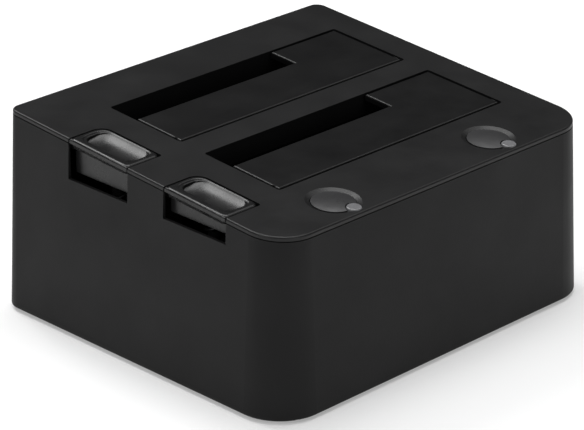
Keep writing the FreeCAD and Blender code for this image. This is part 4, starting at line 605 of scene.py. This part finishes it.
def make_tongue(port):
    """The plastic tongue of a rear socket, and its contacts."""
    x, z, half, inner, count, faces = PORT_TONGUES[port]
    thick = TONGUE_HALF + TONGUE_COVER
    mesh = bmesh.new()
    add_bar(
        mesh, (x - half - TONGUE_COVER, inner, z - thick),
        (x + half + TONGUE_COVER, TONGUE_TIP, z + thick), TONGUE_ROUND)
    finish_piece(mesh, f"{port}_tongue", "housing", "connector_plastic", smooth=False)
    mesh = bmesh.new()
    pitch = 2.0 * half / (count + 0.5)
    reach = CONTACT_SHARE * pitch
    for side in faces:
        low, high = sorted((
            z + side * (thick - CONTACT_SUNK), z + side * (thick + CONTACT_PROUD)))
        for index in range(count):
            middle = x + (index - (count - 1) / 2) * pitch
            add_bar(
                mesh, (middle - reach, inner, low),
                (middle + reach, TONGUE_TIP - CONTACT_BACK, high), CONTACT_ROUND)
    finish_piece(mesh, f"{port}_contacts", "housing", "port_metal", smooth=False)


for bay in EJECT_Y:
    make_eject_top(bay)
    make_coil(bay)
    make_contacts(bay)
for port in PORT_TONGUES:
    make_tongue(port)


# ---------------------------------------------------------------------------------------------
# Floor, lights and camera
# ---------------------------------------------------------------------------------------------

def seen_share(tree, share):
    """The share for what the camera sees, straight, mirrored or through glass; else nothing."""
    path = tree.nodes.new("ShaderNodeLightPath").outputs
    seen = combine(
        tree, "ShaderNodeMath", "MAXIMUM", path["Is Camera Ray"], path["Is Glossy Ray"])
    seen = combine(tree, "ShaderNodeMath", "MAXIMUM", seen, path["Is Transmission Ray"])
    return combine(tree, "ShaderNodeMath", "MULTIPLY", seen, share)


def make_floor():
    """A white floor that glows a little where it is seen, so that shadows on it stay pale."""
    bpy.ops.mesh.primitive_plane_add(size=FLOOR_SIZE)
    floor = bpy.context.object
    floor.name = "floor"
    floor.location.z = -FLOOR_DROP
    shader = Shader("floor", (FLOOR_WHITE, FLOOR_WHITE, FLOOR_WHITE), 0.9, specular=0.1)
    glow = shader.add("ShaderNodeEmission")
    mix = shader.add("ShaderNodeMixShader", Fac=seen_share(shader.tree, FLOOR_GLOW))
    feed(mix.inputs[1], shader.surface.outputs["BSDF"])
    feed(mix.inputs[2], glow.outputs["Emission"])
    feed(shader.tree.nodes["Material Output"].inputs["Surface"], mix.outputs["Shader"])
    floor.data.materials.append(shader.material)


def make_world():
    """A studio that is dim to halfway up its walls and brighter overhead."""
    world = bpy.data.worlds.new("studio")
    world.use_nodes = True
    tree = world.node_tree
    direction = add_node(tree, "ShaderNodeTexCoord").outputs["Generated"]
    height = add_node(tree, "ShaderNodeSeparateXYZ", Vector=direction).outputs["Z"]
    strength = add_node(
        tree, "ShaderNodeMapRange", Value=height, From_Min=STUDIO_RISE, To_Min=STUDIO_LOW,
        To_Max=STUDIO_HIGH)
    background = tree.nodes["Background"]
    feed(background.inputs["Color"], (1.0, 1.0, 1.0, 1.0))
    feed(background.inputs["Strength"], strength.outputs["Result"])
    bpy.context.scene.world = world


def make_lamp(name, place, side, power):
    """A square lamp turned to the body."""
    lamp = bpy.data.lights.new(name, "AREA")
    lamp.size = side
    lamp.energy = power
    light = bpy.data.objects.new(name, lamp)
    light.location = place
    direction = Vector(LAMP_AIM) - Vector(place)
    light.rotation_euler = direction.to_track_quat("-Z", "Y").to_euler()
    bpy.context.scene.collection.objects.link(light)


def make_camera():
    """The camera of the photo: its direction, its distance and its long lens."""
    camera = bpy.data.objects.new("camera", bpy.data.cameras.new("camera"))
    camera.data.lens = CAMERA_LENS
    camera.data.sensor_width = SENSOR_WIDTH
    azimuth = math.radians(CAMERA_AZIMUTH)
    elevation = math.radians(CAMERA_ELEVATION)
    direction = Vector((
        math.sin(azimuth) * math.cos(elevation),
        math.cos(azimuth) * math.cos(elevation),
        -math.sin(elevation)))
    camera.location = Vector(CAMERA_AIM) - CAMERA_DISTANCE * direction
    camera.rotation_euler = direction.to_track_quat("-Z", "Y").to_euler()
    bpy.context.scene.collection.objects.link(camera)
    bpy.context.scene.camera = camera


make_floor()
make_world()
for name, (place, side, power) in LAMPS.items():
    make_lamp(name, place, side, power)
make_camera()
bpy.context.scene.view_settings.view_transform = "Standard"
